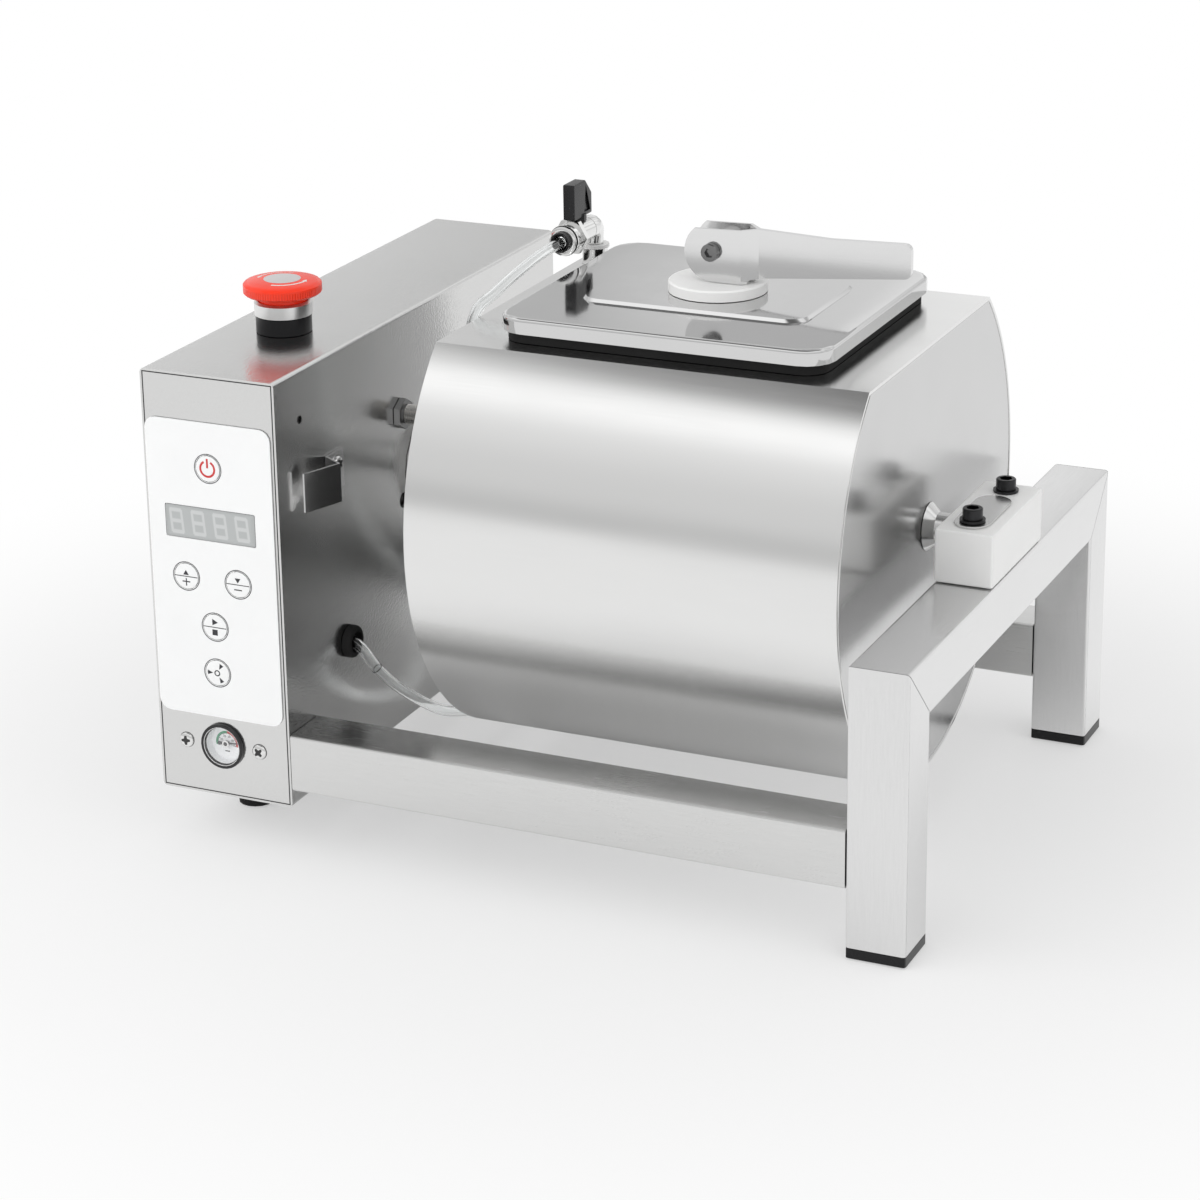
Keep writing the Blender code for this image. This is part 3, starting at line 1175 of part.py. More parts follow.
def build_elbow(axis, leg_base):
    """Elbow swept from the vertical leg, round a bend, to the valve body behind the knob."""
    bm = bmesh.new()
    ring_turns = [math.tau * i / SMALL for i in range(SMALL)]
    stations = [(leg_base, 0, ELBOW_LEG_RADIUS, 0)]
    bend_centre = VALVE_RISE - ELBOW_BODY_RADIUS
    for step in range(ELBOW_STEPS + 1):
        share = step / ELBOW_STEPS
        turn = share * math.pi / 2
        radius = ELBOW_LEG_RADIUS + (ELBOW_BODY_RADIUS - ELBOW_LEG_RADIUS) * share
        stations.append((
            bend_centre + ELBOW_BODY_RADIUS * math.sin(turn),
            -ELBOW_BODY_RADIUS * (1 - math.cos(turn)), radius, turn,
        ))
    stations.append((VALVE_RISE, VALVE_BODY_BACK + GAP - VALVE_Y, ELBOW_BODY_RADIUS, math.pi / 2))
    rings = []
    for height, along, radius, turn in stations:
        out = Vector((0, math.cos(turn), math.sin(turn)))
        centre = Vector((0, along, height))
        ring = [
            bm.verts.new(centre + radius * (math.cos(t) * Vector((1, 0, 0)) + math.sin(t) * out))
            for t in ring_turns
        ]
        rings.append(ring)
    for lower, upper in zip(rings, rings[1:]):
        for i in range(SMALL):
            bm.faces.new((lower[i - 1], lower[i], upper[i], upper[i - 1]))
    bm.faces.new(rings[0])
    bm.faces.new(rings[-1])
    elbow_mesh = to_mesh(bm, "valve_elbow")
    elbow = add("valve_elbow", elbow_mesh, POLISHED_STEEL, (VALVE_X, VALVE_Y, 0), parent=axis)
    thread_bottom = FLAT_RISE + GAP + BUNG_HEIGHT - ELBOW_THREAD
    thread = cylinder("elbow_thread", ELBOW_THREAD_RADIUS, leg_base - thread_bottom + ELBOW_LEG_RADIUS, TINY)
    join(elbow, thread, (0, 0, thread_bottom))


def build_valve_body(axis):
    """Ball valve body with its hexagon and stepped nose, and the black hose nut screwed on it."""
    front = VALVE_BODY_BACK - VALVE_BODY_FRONT
    nose = VALVE_BODY_BACK - VALVE_FACE
    nut_end = front + VALVE_NUT_LENGTH
    step_end = nut_end + VALVE_STEP_LENGTH
    groove = VALVE_STEP_RADIUS - VALVE_NECK_RADIUS
    profile = [
        (0, 0), (ELBOW_BODY_RADIUS, 0), (ELBOW_BODY_RADIUS, front), (VALVE_STEP_RADIUS, front),
        (VALVE_STEP_RADIUS, step_end), (VALVE_NECK_RADIUS, step_end + groove),
        (VALVE_NECK_RADIUS, nose), (0, nose),
    ]
    body = add(
        "valve_body", turned("valve_body", profile, SMALL), POLISHED_STEEL,
        (VALVE_X, VALVE_BODY_BACK, VALVE_RISE), TO_FRONT, axis,
    )
    join(body, plate("valve_hexagon", hexagon(VALVE_NUT_ACROSS), VALVE_NUT_LENGTH), (0, 0, front))
    well = cylinder("stem_well", KNOB_BOSS_RADIUS, ELBOW_BODY_RADIUS, TINY)
    knob_seat = KNOB_BOTTOM - DRUM_AXIS - KNOB_BOSS - VALVE_RISE - GAP
    cut(body, well, (0, knob_seat + ELBOW_BODY_RADIUS, VALVE_BODY_BACK - KNOB_Y), (math.pi / 2, 0, 0))
    passage = cylinder("passage", HOSE_NUT_BORE - GAP, front, TINY)
    cut(body, passage, (0, 0, nose - front / 2))

    nut_length = VALVE_FACE - GAP - HOSE_NUT_FRONT
    nut = [
        (HOSE_NUT_BORE, 0), (HOSE_NUT_RADIUS, 0), (HOSE_NUT_RADIUS, nut_length - BOLT_EDGE),
        (HOSE_NUT_RADIUS - BOLT_EDGE, nut_length), (HOSE_NUT_WELL, nut_length),
        (HOSE_NUT_BORE, nut_length - (HOSE_NUT_WELL - HOSE_NUT_BORE)),
    ]
    add(
        "hose_fitting", turned("hose_fitting", nut, SMALL), BLACK_PLASTIC,
        (VALVE_X, VALVE_FACE - GAP, VALVE_RISE), TO_FRONT, axis,
    )


def build_knob(axis):
    """Bar knob that stands on a round boss, with a sloping tail and a three-cornered facet in each side."""
    base = KNOB_BOTTOM - DRUM_AXIS
    height = HEIGHT - KNOB_BOTTOM
    half = KNOB_LENGTH / 2
    side = [
        (-half, height), (-half, 0), (half, 0), (half, height - KNOB_TAIL_DROP),
        (half - KNOB_TAIL, height),
    ]
    centre_y = VALVE_BODY_FRONT + GAP - KNOB_Y + half - KNOB_BOSS_RADIUS
    bm = plate_bmesh(side, KNOB_WIDTH)
    bmesh.ops.translate(bm, vec=(0, 0, -KNOB_WIDTH / 2), verts=bm.verts[:])
    outer = [edge for edge in bm.edges if edge.is_manifold and edge.calc_face_angle() > SHARP_ANGLE]
    bmesh.ops.bevel(bm, geom=outer, offset=KNOB_EDGE, segments=2, profile=0.5, affect="EDGES")
    pivot = empty("knob_axis", (VALVE_X, KNOB_Y, base), axis)
    bar = to_mesh(bm, "valve_knob")
    knob = add("valve_knob", bar, BLACK_PLASTIC, (0, centre_y, 0), SECTION_ALONG_X, pivot)
    boss = cylinder("knob_boss", KNOB_BOSS_RADIUS - GAP, KNOB_BOSS + 2 * KNOB_EDGE, TINY)
    join(knob, boss, (-centre_y, 2 * KNOB_EDGE, 0), (math.pi / 2, 0, 0))
    facet = [
        (half - KNOB_TAIL, height - KNOB_FACET), (half - KNOB_TAIL - KNOB_FACET, KNOB_FACET),
        (half - KNOB_FACET, KNOB_FACET),
    ]
    for word, offset in (("left", -KNOB_WIDTH / 2), ("right", KNOB_WIDTH / 2)):
        wedge = plate("facet_" + word, facet, KNOB_FACET)
        cut(knob, wedge, (0, 0, offset - KNOB_FACET / 2))


# Lid and clamp

def build_lid(centre):
    """Pressed cover with its skirt and raised platform, on a moulded gasket."""
    skirt = GASKET_SHOW + GAP
    bm = plate_bmesh(rounded_rectangle(LID_LENGTH, LID_WIDTH, LID_CORNER), LID_SKIRT)
    high_edges = [e for e in bm.edges if all(v.co.z > LID_SKIRT / 2 for v in e.verts)]
    top_edges = [e for e in high_edges if e.calc_face_angle() > SHARP_ANGLE]
    bmesh.ops.bevel(bm, geom=top_edges, offset=LID_ROLL, segments=3, profile=0.5, affect="EDGES")
    lid = add("lid_cover", to_mesh(bm, "lid_cover"), POLISHED_STEEL, (0, 0, skirt), parent=centre)
    hollow = plate(
        "lid_hollow",
        rounded_rectangle(LID_LENGTH - 2 * LID_SHEET, LID_WIDTH - 2 * LID_SHEET, LID_CORNER - LID_SHEET),
        LID_SKIRT,
    )
    cut(lid, hollow, (0, 0, -LID_SHEET))
    join(lid, platform_mesh("platform", 0, LID_SHEET), (0, 0, LID_SKIRT - LID_SHEET / 2))
    cut(lid, platform_mesh("platform_hollow", LID_SHEET, 0), (0, 0, LID_SKIRT - 2 * LID_SHEET))
    stud_hole = cylinder("stud_hole", STUD_HOLE_RADIUS, 8 * LID_SHEET, TINY)
    cut(lid, stud_hole, (0, 0, LID_SKIRT - 4 * LID_SHEET))

    underside = GASKET_SHOW + LID_SKIRT - LID_SHEET - GAP
    gasket_outer = rounded_rectangle(
        LID_LENGTH - 2 * GASKET_INSET, LID_WIDTH - 2 * GASKET_INSET, LID_CORNER - GASKET_INSET
    )
    band = GASKET_INSET + GASKET_BAND
    gasket_inner = rounded_rectangle(LID_LENGTH - 2 * band, LID_WIDTH - 2 * band, MOUTH_CORNER / 2)
    gasket = add(
        "lid_gasket", plate("lid_gasket", gasket_outer, underside, [gasket_inner]), BLACK_RUBBER,
        (0, 0, GAP), parent=centre,
    )
    lip_outer = rounded_rectangle(
        MOUTH_LENGTH - 2 * GASKET_LIP_CLEARANCE, MOUTH_WIDTH - 2 * GASKET_LIP_CLEARANCE, MOUTH_CORNER
    )
    lip_inner_length = MOUTH_LENGTH - 2 * GASKET_LIP_BAND
    lip_inner_width = MOUTH_WIDTH - 2 * GASKET_LIP_BAND
    lip_inner = rounded_rectangle(lip_inner_length, lip_inner_width, MOUTH_CORNER / 2)
    lip = plate("gasket_lip", lip_outer, GASKET_LIP + GASKET_SHOW / 2, [lip_inner])
    join(gasket, lip, (0, 0, -GASKET_LIP - GAP))

    disc = [
        (STUD_HOLE_RADIUS, 0), (DISC_RADIUS, 0), (DISC_RADIUS, DISC_HEIGHT - DISC_EDGE),
        (DISC_RADIUS - DISC_EDGE, DISC_HEIGHT), (STUD_HOLE_RADIUS, DISC_HEIGHT),
    ]
    disc_base = PLATFORM_TOP - FLAT_RISE + GAP
    add("nylon_disc", turned("nylon_disc", disc, ROUND), WHITE_NYLON, (0, 0, disc_base), parent=centre)


def platform_mesh(name, inset, extra):
    """Raised platform with sloping sides, from below the lid's top to the platform's top."""
    foot = plate_bmesh(
        rounded_rectangle(
            PLATFORM_LENGTH - 2 * inset, PLATFORM_WIDTH - 2 * inset, PLATFORM_CORNER - inset
        ),
        PLATFORM_RISE + extra / 2 + inset / 2,
    )
    shrink_x = 1 - 2 * PLATFORM_SLOPE / PLATFORM_LENGTH
    shrink_y = 1 - 2 * PLATFORM_SLOPE / PLATFORM_WIDTH
    for vert in foot.verts:
        if vert.co.z > 0:
            vert.co.x *= shrink_x
            vert.co.y *= shrink_y
    return to_mesh(foot, name)


def build_clamp(centre):
    """Pressure plate, eye stud with its nut, cam lever and pivot bolt."""
    plate_top = -GASKET_LIP - 2 * GAP
    slide = empty("clamp_slide", (0, 0, plate_top), centre)
    shrink = GASKET_LIP_CLEARANCE + PRESSURE_PLATE_INSET
    outline = rounded_rectangle(MOUTH_LENGTH - 2 * shrink, MOUTH_WIDTH - 2 * shrink, MOUTH_CORNER - shrink)
    hole = circle(STUD_HOLE_RADIUS, TINY)
    pressure = add(
        "pressure_plate", plate("pressure_plate", outline, PRESSURE_PLATE_THICKNESS, [hole]), BRUSHED_STEEL,
        (0, 0, -PRESSURE_PLATE_THICKNESS), parent=slide,
    )
    rib_length = MOUTH_WIDTH - 4 * GASKET_LIP_BAND
    rib = block("pressure_rib", (PRESSURE_RIB, rib_length, 2 * PRESSURE_RIB))
    for side in (-1, 1):
        join(pressure, rib.copy(), (side * (MOUTH_LENGTH / 2 - 2 * GASKET_LIP_BAND), 0, -PRESSURE_RIB / 2))

    pivot = empty("lever_pivot", (0, 0, PIVOT_RISE - FLAT_RISE), centre)
    build_stud(pivot, plate_top - PRESSURE_PLATE_THICKNESS - (PIVOT_RISE - FLAT_RISE))
    build_cam_lever(pivot)
    build_pivot_bolt(pivot)


def build_stud(pivot, plate_bottom):
    """Eye on a stud that hangs from the pivot bolt through disc, lid and plate to its nut."""
    eye_hole = circle(PIVOT_BOLT_RADIUS + GAP, TINY)
    eye = plate("clamp_stud", circle(EYE_RADIUS, SMALL), EYE_THICKNESS, [eye_hole])
    stud = add("clamp_stud", eye, POLISHED_STEEL, (0, EYE_THICKNESS / 2, 0), TO_FRONT, pivot)
    nut_top = plate_bottom - GAP
    length = EYE_RADIUS * EYE_NECK_SHARE
    bottom = nut_top - STUD_NUT_HEIGHT
    rod = cylinder("stud_rod", STUD_RADIUS, -bottom - length, TINY)
    join(stud, rod, (0, -length, EYE_THICKNESS / 2), (math.pi / 2, 0, 0))
    nut = plate("stud_nut", hexagon(STUD_NUT_ACROSS), STUD_NUT_HEIGHT)
    join(stud, nut, (0, nut_top, EYE_THICKNESS / 2), (math.pi / 2, 0, 0))


def cam_outline():
    """Side outline of one lever half: the cam, which draws in as the lever opens, and the tapering blade."""
    spiral = []
    for step in range(CAM_STEPS + 1):
        turn = CAM_OPEN * step / CAM_STEPS
        reach = CAM_REACH - CAM_STROKE * turn / CAM_OPEN
        spiral.append((-reach * math.sin(turn), -reach * math.cos(turn)))
    reach = CAM_REACH - CAM_STROKE
    top_turn = math.pi - math.acos(EAR_TOP / reach)
    for step in range(1, CORNER_STEPS + 1):
        turn = CAM_OPEN + (top_turn - CAM_OPEN) * step / CORNER_STEPS
        spiral.append((-reach * math.sin(turn), -reach * math.cos(turn)))
    end = BLADE_LENGTH
    rounding = BLADE_END_ROUND
    top_end = arc((end - rounding, BLADE_TOP_END - rounding), rounding, math.pi / 2, 0, 4)
    bottom_end = arc((end - rounding, -BLADE_BOTTOM_END + rounding), rounding, 0, -math.pi / 2, 4)
    blade = [(JOG_START, BLADE_TOP_ROOT), (BLADE_WAIST, BLADE_TOP_WAIST)] + top_end + bottom_end
    foot = [(BLADE_BOTTOM_MID_X, -BLADE_BOTTOM_MID), (CAM_FLAT, -BLADE_BOTTOM_ROOT), (CAM_FLAT, -CAM_REACH)]
    return spiral + blade + foot


def lever_plan():
    """Plan of both sheets: apart at the ears, drawn together past the jog, joined along the blade."""
    half = EAR_SPAN / 2
    left = -CAM_REACH - LEVER_SHEET
    right = BLADE_LENGTH + LEVER_SHEET
    inner = half - LEVER_SHEET
    outer_side = [(left, half), (JOG_START, half), (JOG_END, LEVER_SHEET), (right, LEVER_SHEET)]
    inner_jog = JOG_END - LEVER_SHEET
    inner_side = [(left, inner), (JOG_START - LEVER_SHEET / 2, inner), (inner_jog, 0)]
    front = [(x, -y) for x, y in outer_side]
    inner_front = [(x, -y) for x, y in inner_side[:-1]]
    return front + list(reversed(outer_side)) + inner_side + list(reversed(inner_front))


def build_cam_lever(pivot):
    """Lever pressed from two sheets: its side outline crossed with its plan."""
    width = EAR_SPAN + 2 * LEVER_SHEET
    lever = add(
        "cam_lever", plate("cam_lever", cam_outline(), width), POLISHED_STEEL,
        (0, width / 2, 0), TO_FRONT, pivot,
    )
    tall = 4 * CAM_REACH
    sheets = plate("lever_sheets", lever_plan(), tall)
    shape(lever, sheets, "INTERSECT", (0, tall / 2, width / 2), (math.pi / 2, 0, 0))
    hole = cylinder("pivot_hole", PIVOT_HOLE_RADIUS, 2 * width, TINY)
    cut(lever, hole, (0, 0, -width / 2))


def build_pivot_bolt(pivot):
    """Bolt through both ears and the eye, with a socket head in front and a nut behind."""
    face = EAR_SPAN / 2 + GAP
    back = -face - PIVOT_NUT_HEIGHT
    front = face + PIVOT_HEAD_HEIGHT
    profile = [
        (0, back), (PIVOT_HEAD_RADIUS, back), (PIVOT_HEAD_RADIUS, -face),
        (PIVOT_BOLT_RADIUS, -face), (PIVOT_BOLT_RADIUS, face), (PIVOT_HEAD_RADIUS, face),
        (PIVOT_HEAD_RADIUS, front - BOLT_EDGE), (PIVOT_HEAD_RADIUS - BOLT_EDGE, front), (0, front),
    ]
    bolt = add(
        "pivot_bolt", turned("pivot_bolt", profile, SMALL), POLISHED_STEEL, (0, 0, 0), TO_FRONT, pivot
    )
    socket = plate("pivot_socket", hexagon(2 * PIVOT_SOCKET_RADIUS), 2 * PIVOT_SOCKET_DEPTH)
    cut(bolt, socket, (0, 0, front - PIVOT_SOCKET_DEPTH))


# Hose

def smooth_route(points, spacing):
    """Points at an even spacing along a smooth curve through the given points."""
    nodes = [Vector(p) for p in points]
    padded = [2 * nodes[0] - nodes[1]] + nodes + [2 * nodes[-1] - nodes[-2]]
    fine = []
    for before, start, end, after in zip(padded, padded[1:], padded[2:], padded[3:]):
        for i in range(ROUTE_PIECES):
            t = i / ROUTE_PIECES
            fine.append(0.5 * (
                2 * start + (end - before) * t + (2 * before - 5 * start + 4 * end - after) * t * t
                + (3 * start - before - 3 * end + after) * t * t * t
            ))
    fine.append(nodes[-1])
    lengths = [0]
    for start, end in zip(fine, fine[1:]):
        lengths.append(lengths[-1] + (end - start).length)
    count = round(lengths[-1] / spacing)
    route = []
    for i in range(count + 1):
        target = lengths[-1] * i / count
        at = max(k for k, length in enumerate(lengths) if length <= target + MERGE)
        following = min(at + 1, len(fine) - 1)
        span = lengths[following] - lengths[at]
        share = (target - lengths[at]) / span if span else 0
        route.append(fine[at].lerp(fine[following], share))
    return route


def build_hose():
    """Clear vacuum hose from the grommet, down and up through the gap, to the drum's fitting."""
    route = smooth_route(HOSE_ROUTE, HOSE_SPACING)
    curve = bpy.data.curves.new("vacuum_hose", "CURVE")
    curve.dimensions = "3D"
    spline = curve.splines.new("POLY")
    spline.points.add(len(route) - 1)
    for point, place in zip(spline.points, route):
        point.co = (*place, 1)
    curve.bevel_depth = HOSE_RADIUS
    curve.bevel_resolution = HOSE_FACETS
    curve.use_fill_caps = True
    hose = bpy.data.objects.new("vacuum_hose", curve)
    curve.materials.append(finish_material("vacuum_hose", CLEAR_PLASTIC))
    bpy.context.collection.objects.link(hose)


def main():
    clear_scene()
    build_cabinet_shell()
    build_back_cover()
    build_base_plate()
    build_feet()
    build_power_inlet()
    build_control_panel()
    build_keys()
    build_control_board()
    build_gauge()
    build_emergency_stop()
    build_wall_fittings()
    build_drive()
    build_pump()
    build_frame()
    build_bearing_block()
    drum_axis = empty("drum_axis", (0, 0, DRUM_AXIS))
    build_drum(drum_axis)
    build_valve(drum_axis)
    lid_centre = empty("lid_centre", (LID_X, 0, FLAT_RISE), drum_axis)
    build_lid(lid_centre)
    build_clamp(lid_centre)
    build_hose()


main()
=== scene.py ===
import math

import bmesh
import bpy
from mathutils import Matrix, Vector


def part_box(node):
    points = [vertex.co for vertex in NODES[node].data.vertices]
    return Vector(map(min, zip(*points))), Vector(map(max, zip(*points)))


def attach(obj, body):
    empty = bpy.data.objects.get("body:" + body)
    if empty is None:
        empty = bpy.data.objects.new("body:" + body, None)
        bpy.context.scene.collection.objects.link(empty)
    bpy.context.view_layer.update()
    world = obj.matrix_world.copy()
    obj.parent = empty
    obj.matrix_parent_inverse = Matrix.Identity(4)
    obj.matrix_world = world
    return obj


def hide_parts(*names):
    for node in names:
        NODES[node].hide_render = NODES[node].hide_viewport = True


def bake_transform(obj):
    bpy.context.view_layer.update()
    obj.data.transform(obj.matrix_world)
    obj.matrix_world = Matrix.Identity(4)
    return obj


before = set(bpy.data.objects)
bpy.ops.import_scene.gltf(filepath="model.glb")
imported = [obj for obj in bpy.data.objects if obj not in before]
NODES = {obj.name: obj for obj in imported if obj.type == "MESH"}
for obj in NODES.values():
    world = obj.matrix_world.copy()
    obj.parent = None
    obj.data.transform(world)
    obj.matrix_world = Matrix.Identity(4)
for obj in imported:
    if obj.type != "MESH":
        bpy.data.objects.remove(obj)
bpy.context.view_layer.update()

bl_info = {
    "name": "Vacuum Tumbler Finish",
    "version": (1, 0, 0),
    "blender": (4, 5, 0),
    "location": "3D View > Sidebar > Tumbler",
    "description": "Gives the tumbler its steels, plastics, prints, hose and studio",
    "category": "Object",
}

MM = 0.001
HAIR = 0.00005  # thickness of print
GAP = 0.0003
SHARP = math.radians(32)  # edges that stay sharp on the CAD nodes
SMOOTH = math.radians(35)  # edges that are smoothed on the added pieces
ROUND_STEPS = 48
SMALL_STEPS = 24
QUARTER = math.pi / 2
FORWARD = (0, -1, 0)
# Near black, painted as shade into screw recesses, round screw heads, round two holes and along the front
# plate's seam
SHADE_BLACK = (0.02, 0.02, 0.02)

# The hose's middle passes through these points, in metres, the same as in the part's source
HOSE_ROUTE = (
    (-0.1240, -0.0936, 0.0934),
    (-0.1170, -0.0940, 0.0896),
    (-0.1090, -0.0940, 0.0800),
    (-0.1030, -0.0784, 0.0631),
    (-0.1000, -0.0463, 0.0411),
    (-0.0990, -0.0217, 0.0304),
    (-0.0980, 0.0038, 0.0226),
    (-0.0975, 0.0200, 0.0210),
    (-0.0970, 0.0380, 0.0310),
    (-0.0965, 0.0430, 0.0560),
    (-0.0950, 0.0260, 0.0830),
    (-0.0930, -0.0020, 0.1100),
    (-0.0900, -0.0250, 0.1400),
    (-0.0870, -0.0370, 0.1750),
    (-0.0830, -0.0410, 0.2100),
    (-0.0785, -0.0410, 0.2420),
    (-0.0742, -0.0390, 0.2590),
    (-0.0690, -0.0300, 0.2655),
    (-0.0650, -0.0110, 0.2720),
    (-0.0630, 0.0130, 0.2760),
    (-0.0620, 0.0360, 0.2770),
)


# Places read from the frame

def corners(node):
    """Lowest and highest corner of a CAD node's box."""
    return [Vector(corner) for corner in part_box(node)]


def middle(node):
    """Centre of a CAD node's box."""
    low, high = corners(node)
    return (low + high) / 2


def side(node, axis, high=True):
    """One face of a CAD node's box: its lowest or highest place along an axis."""
    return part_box(node)[high]["xyz".index(axis)]


def half_breadth(node):
    """Half of a CAD node's size along x."""
    return (side(node, "x") - side(node, "x", False)) / 2


# Sizes and colours that a user would change

def number(name, description, default, **unit):
    """A number that can't be negative."""
    return bpy.props.FloatProperty(name=name, description=description, default=default, min=0, **unit)


def length(name, description, millimetres):
    """A length, kept in metres."""
    return number(name, description, millimetres * MM, unit="LENGTH", subtype="DISTANCE")


def colour(name, description, *rgb):
    """A colour."""
    return bpy.props.FloatVectorProperty(
        name=name, description=description, default=rgb, subtype="COLOR", size=3, min=0, max=1
    )


class TumblerSizes(bpy.types.PropertyGroup):
    """Sizes of the pieces that are added to the model."""
    hose_outer: length("Hose radius", "Outer radius of the clear hose", 2.9)
    hose_inner: length("Hose bore", "Inner radius of the clear hose", 2.05)
    bead: length("Weld bead", "Radius of the weld beads", 0.6)
    key_ring: length("Key ring", "Radius of the ring printed round each key", 7.7)
    print_line: length("Printed line", "Width of the lines printed on the panel", 0.42)
    gauge_screw: length("Gauge screw", "Radius of the two screw heads beside the gauge", 3.9)
    clip_screw: length("Clip screw", "Radius of the screw head on the hose clip", 3.5)


class TumblerColours(bpy.types.PropertyGroup):
    """Colours of the finishes."""
    steel: colour("Steel", "Brushed steel of the cabinet and the frame", 0.68, 0.68, 0.675)
    polished: colour("Polished steel", "Polished steel of the drum, lid and valve", 0.78, 0.78, 0.775)
    dark_steel: colour("Dark steel", "Sensor body and castings", 0.33, 0.33, 0.33)
    panel: colour("Panel", "White membrane of the control panel", 0.90, 0.905, 0.905)
    display: colour("Display", "Grey window of the display", 0.44, 0.455, 0.455)
    nylon: colour("Nylon", "Bearing block, lid disc and washers", 0.93, 0.93, 0.92)
    black: colour("Black", "Black plastic", 0.007, 0.007, 0.008)
    rubber: colour("Rubber", "Gasket, grommet and feet", 0.012, 0.012, 0.012)
    red: colour("Red", "Cap of the emergency stop", 1.0, 0.045, 0.014)
    sign_red: colour("Printed red", "Power sign and the dial's warning arc", 0.58, 0.035, 0.035)
    sign_green: colour("Printed green", "The dial's working arc", 0.05, 0.30, 0.16)
    ink: colour("Ink", "Dark print on panel and dial", 0.03, 0.03, 0.035)
    board: colour("Board", "Circuit board", 0.02, 0.16, 0.07)
    motor: colour("Motor", "Painted pump motor", 0.05, 0.05, 0.055)


class TumblerStudio(bpy.types.PropertyGroup):
    """Levels of the light."""
    key: number("Key light", "Power of the large lamp above the front left, in watts", 21.0)
    fill: number("Fill light", "Power of the lamp on the right, in watts", 6.0)
    top: number("Top light", "Power of the lamp overhead, in watts", 3.0)
    surround: number("Surround", "Level of the light that comes from all sides", 0.62)


def sizes():
    """The sizes now set."""
    return bpy.context.scene.tumbler_sizes


def colours():
    """The colours now set."""
    return bpy.context.scene.tumbler_colours


# Node trees written as expressions

class Wire:
    """An output socket. Arithmetic on it adds Math nodes to its tree."""

    def __init__(self, tree, socket):
        self.tree = tree
        self.socket = socket

    def math(self, operation, *values):
        """A Math node on this value and others."""
        return self.node("ShaderNodeMath", {"operation": operation}, [self, *values])

    def node(self, kind, settings=None, inputs=None, output=0):
        """Any node, with its settings made first and then its sockets filled by number or name."""
        return add_node(self.tree, kind, settings, inputs, output)

    def __add__(self, other):
        return self.math("ADD", other)

    __radd__ = __add__

    def __mul__(self, other):
        return self.math("MULTIPLY", other)

    __rmul__ = __mul__

    def __sub__(self, other):
        return self.math("SUBTRACT", other)

    def __rsub__(self, other):
        return add_node(self.tree, "ShaderNodeMath", {"operation": "SUBTRACT"}, [other, self])

    def __truediv__(self, other):
        return self.math("DIVIDE", other)

    def __abs__(self):
        return self.math("ABSOLUTE")

    def step(self, low, high):
        """0 below low, 1 above high and smooth between them."""
        return self.node(
            "ShaderNodeMapRange", {"interpolation_type": "SMOOTHSTEP"},
            {"Value": self, "From Min": low, "From Max": high},
        )

    def separated(self):
        """The three components of a vector."""
        node = self.node("ShaderNodeSeparateXYZ", None, [self]).socket.node
        return [Wire(self.tree, output) for output in node.outputs]


def add_node(tree, kind, settings=None, inputs=None, output=0):
    """A node in a tree, as the Wire of one of its outputs."""
    node = tree.nodes.new(kind)
    for name, value in (settings or {}).items():
        setattr(node, name, value)
    if not isinstance(inputs, dict):
        inputs = dict(enumerate(inputs or ()))
    for key, value in inputs.items():
        if isinstance(value, Wire):
            tree.links.new(value.socket, node.inputs[key])
        else:
            node.inputs[key].default_value = value
    return Wire(tree, node.outputs[output])


def own_place(tree):
    """The object's own coordinates, in metres."""
    return add_node(tree, "ShaderNodeTexCoord", output=3)


def ray_kinds(tree):
    """Whether a ray comes from the camera, from a glossy face or through a clear one."""
    node = tree.nodes.new("ShaderNodeLightPath")
    return [Wire(tree, node.outputs["Is %s Ray" % kind]) for kind in ("Camera", "Glossy", "Transmission")]


def toned(base, level):
    """A colour made darker."""
    return [c * level for c in base]


def opaque(tone):
    """A colour with its alpha, or the Wire of one."""
    return tone if isinstance(tone, Wire) else (*tone[:3], 1)


def mixed(tree, share, first, second):
    """A colour between two others."""
    inputs = {0: share, 6: opaque(first), 7: opaque(second)}
    return add_node(tree, "ShaderNodeMix", {"data_type": "RGBA"}, inputs, 2)


class Finish:
    """A Principled material whose varying sockets are set by expressions on the object's own coordinates."""

    def __init__(self, name, base, roughness, metallic=0.0, **constants):
        self.material = bpy.data.materials.new(name)
        self.material.use_nodes = True
        self.tree = self.material.node_tree
        self.shader = self.tree.nodes["Principled BSDF"]
        self.base = tuple(base)
        self.set("Base Color", (*base, 1))
        self.set("Roughness", roughness)
        self.set("Metallic", metallic)
        self.material.diffuse_color = (*base, 1)
        for key, value in constants.items():
            self.set(key.replace("_", " ").title().replace("Ior", "IOR"), value)

    def set(self, socket, value):
        """Set or drive one of the shader's sockets."""
        if isinstance(value, Wire):
            self.tree.links.new(value.socket, self.shader.inputs[socket])
        else:
            self.shader.inputs[socket].default_value = value

    def place(self, scale=(1, 1, 1)):
        """The object's coordinates in metres, scaled along each axis."""
        return add_node(
            self.tree, "ShaderNodeVectorMath", {"operation": "MULTIPLY"}, [own_place(self.tree), scale]
        )

    def noise(self, scale, detail=2.0, roughness=0.5):
        """Noise with one scale for all axes, or a scale for each."""
        stretch = scale if isinstance(scale, (list, tuple)) else (scale,) * 3
        return add_node(
            self.tree, "ShaderNodeTexNoise", {"noise_dimensions": "3D"},
            {"Vector": self.place(stretch), "Scale": 1.0, "Detail": detail, "Roughness": roughness},
        )

    def bump(self, height, depth, strength):
        """Small relief, by a height from 0 to 1 and its depth in metres."""
        inputs = {"Strength": strength, "Distance": depth, "Height": height}
        self.set("Normal", add_node(self.tree, "ShaderNodeBump", None, inputs))

    def tint(self, share, other):
        """Let another colour show through by a share."""
        self.set("Base Color", mixed(self.tree, share, self.base, other))


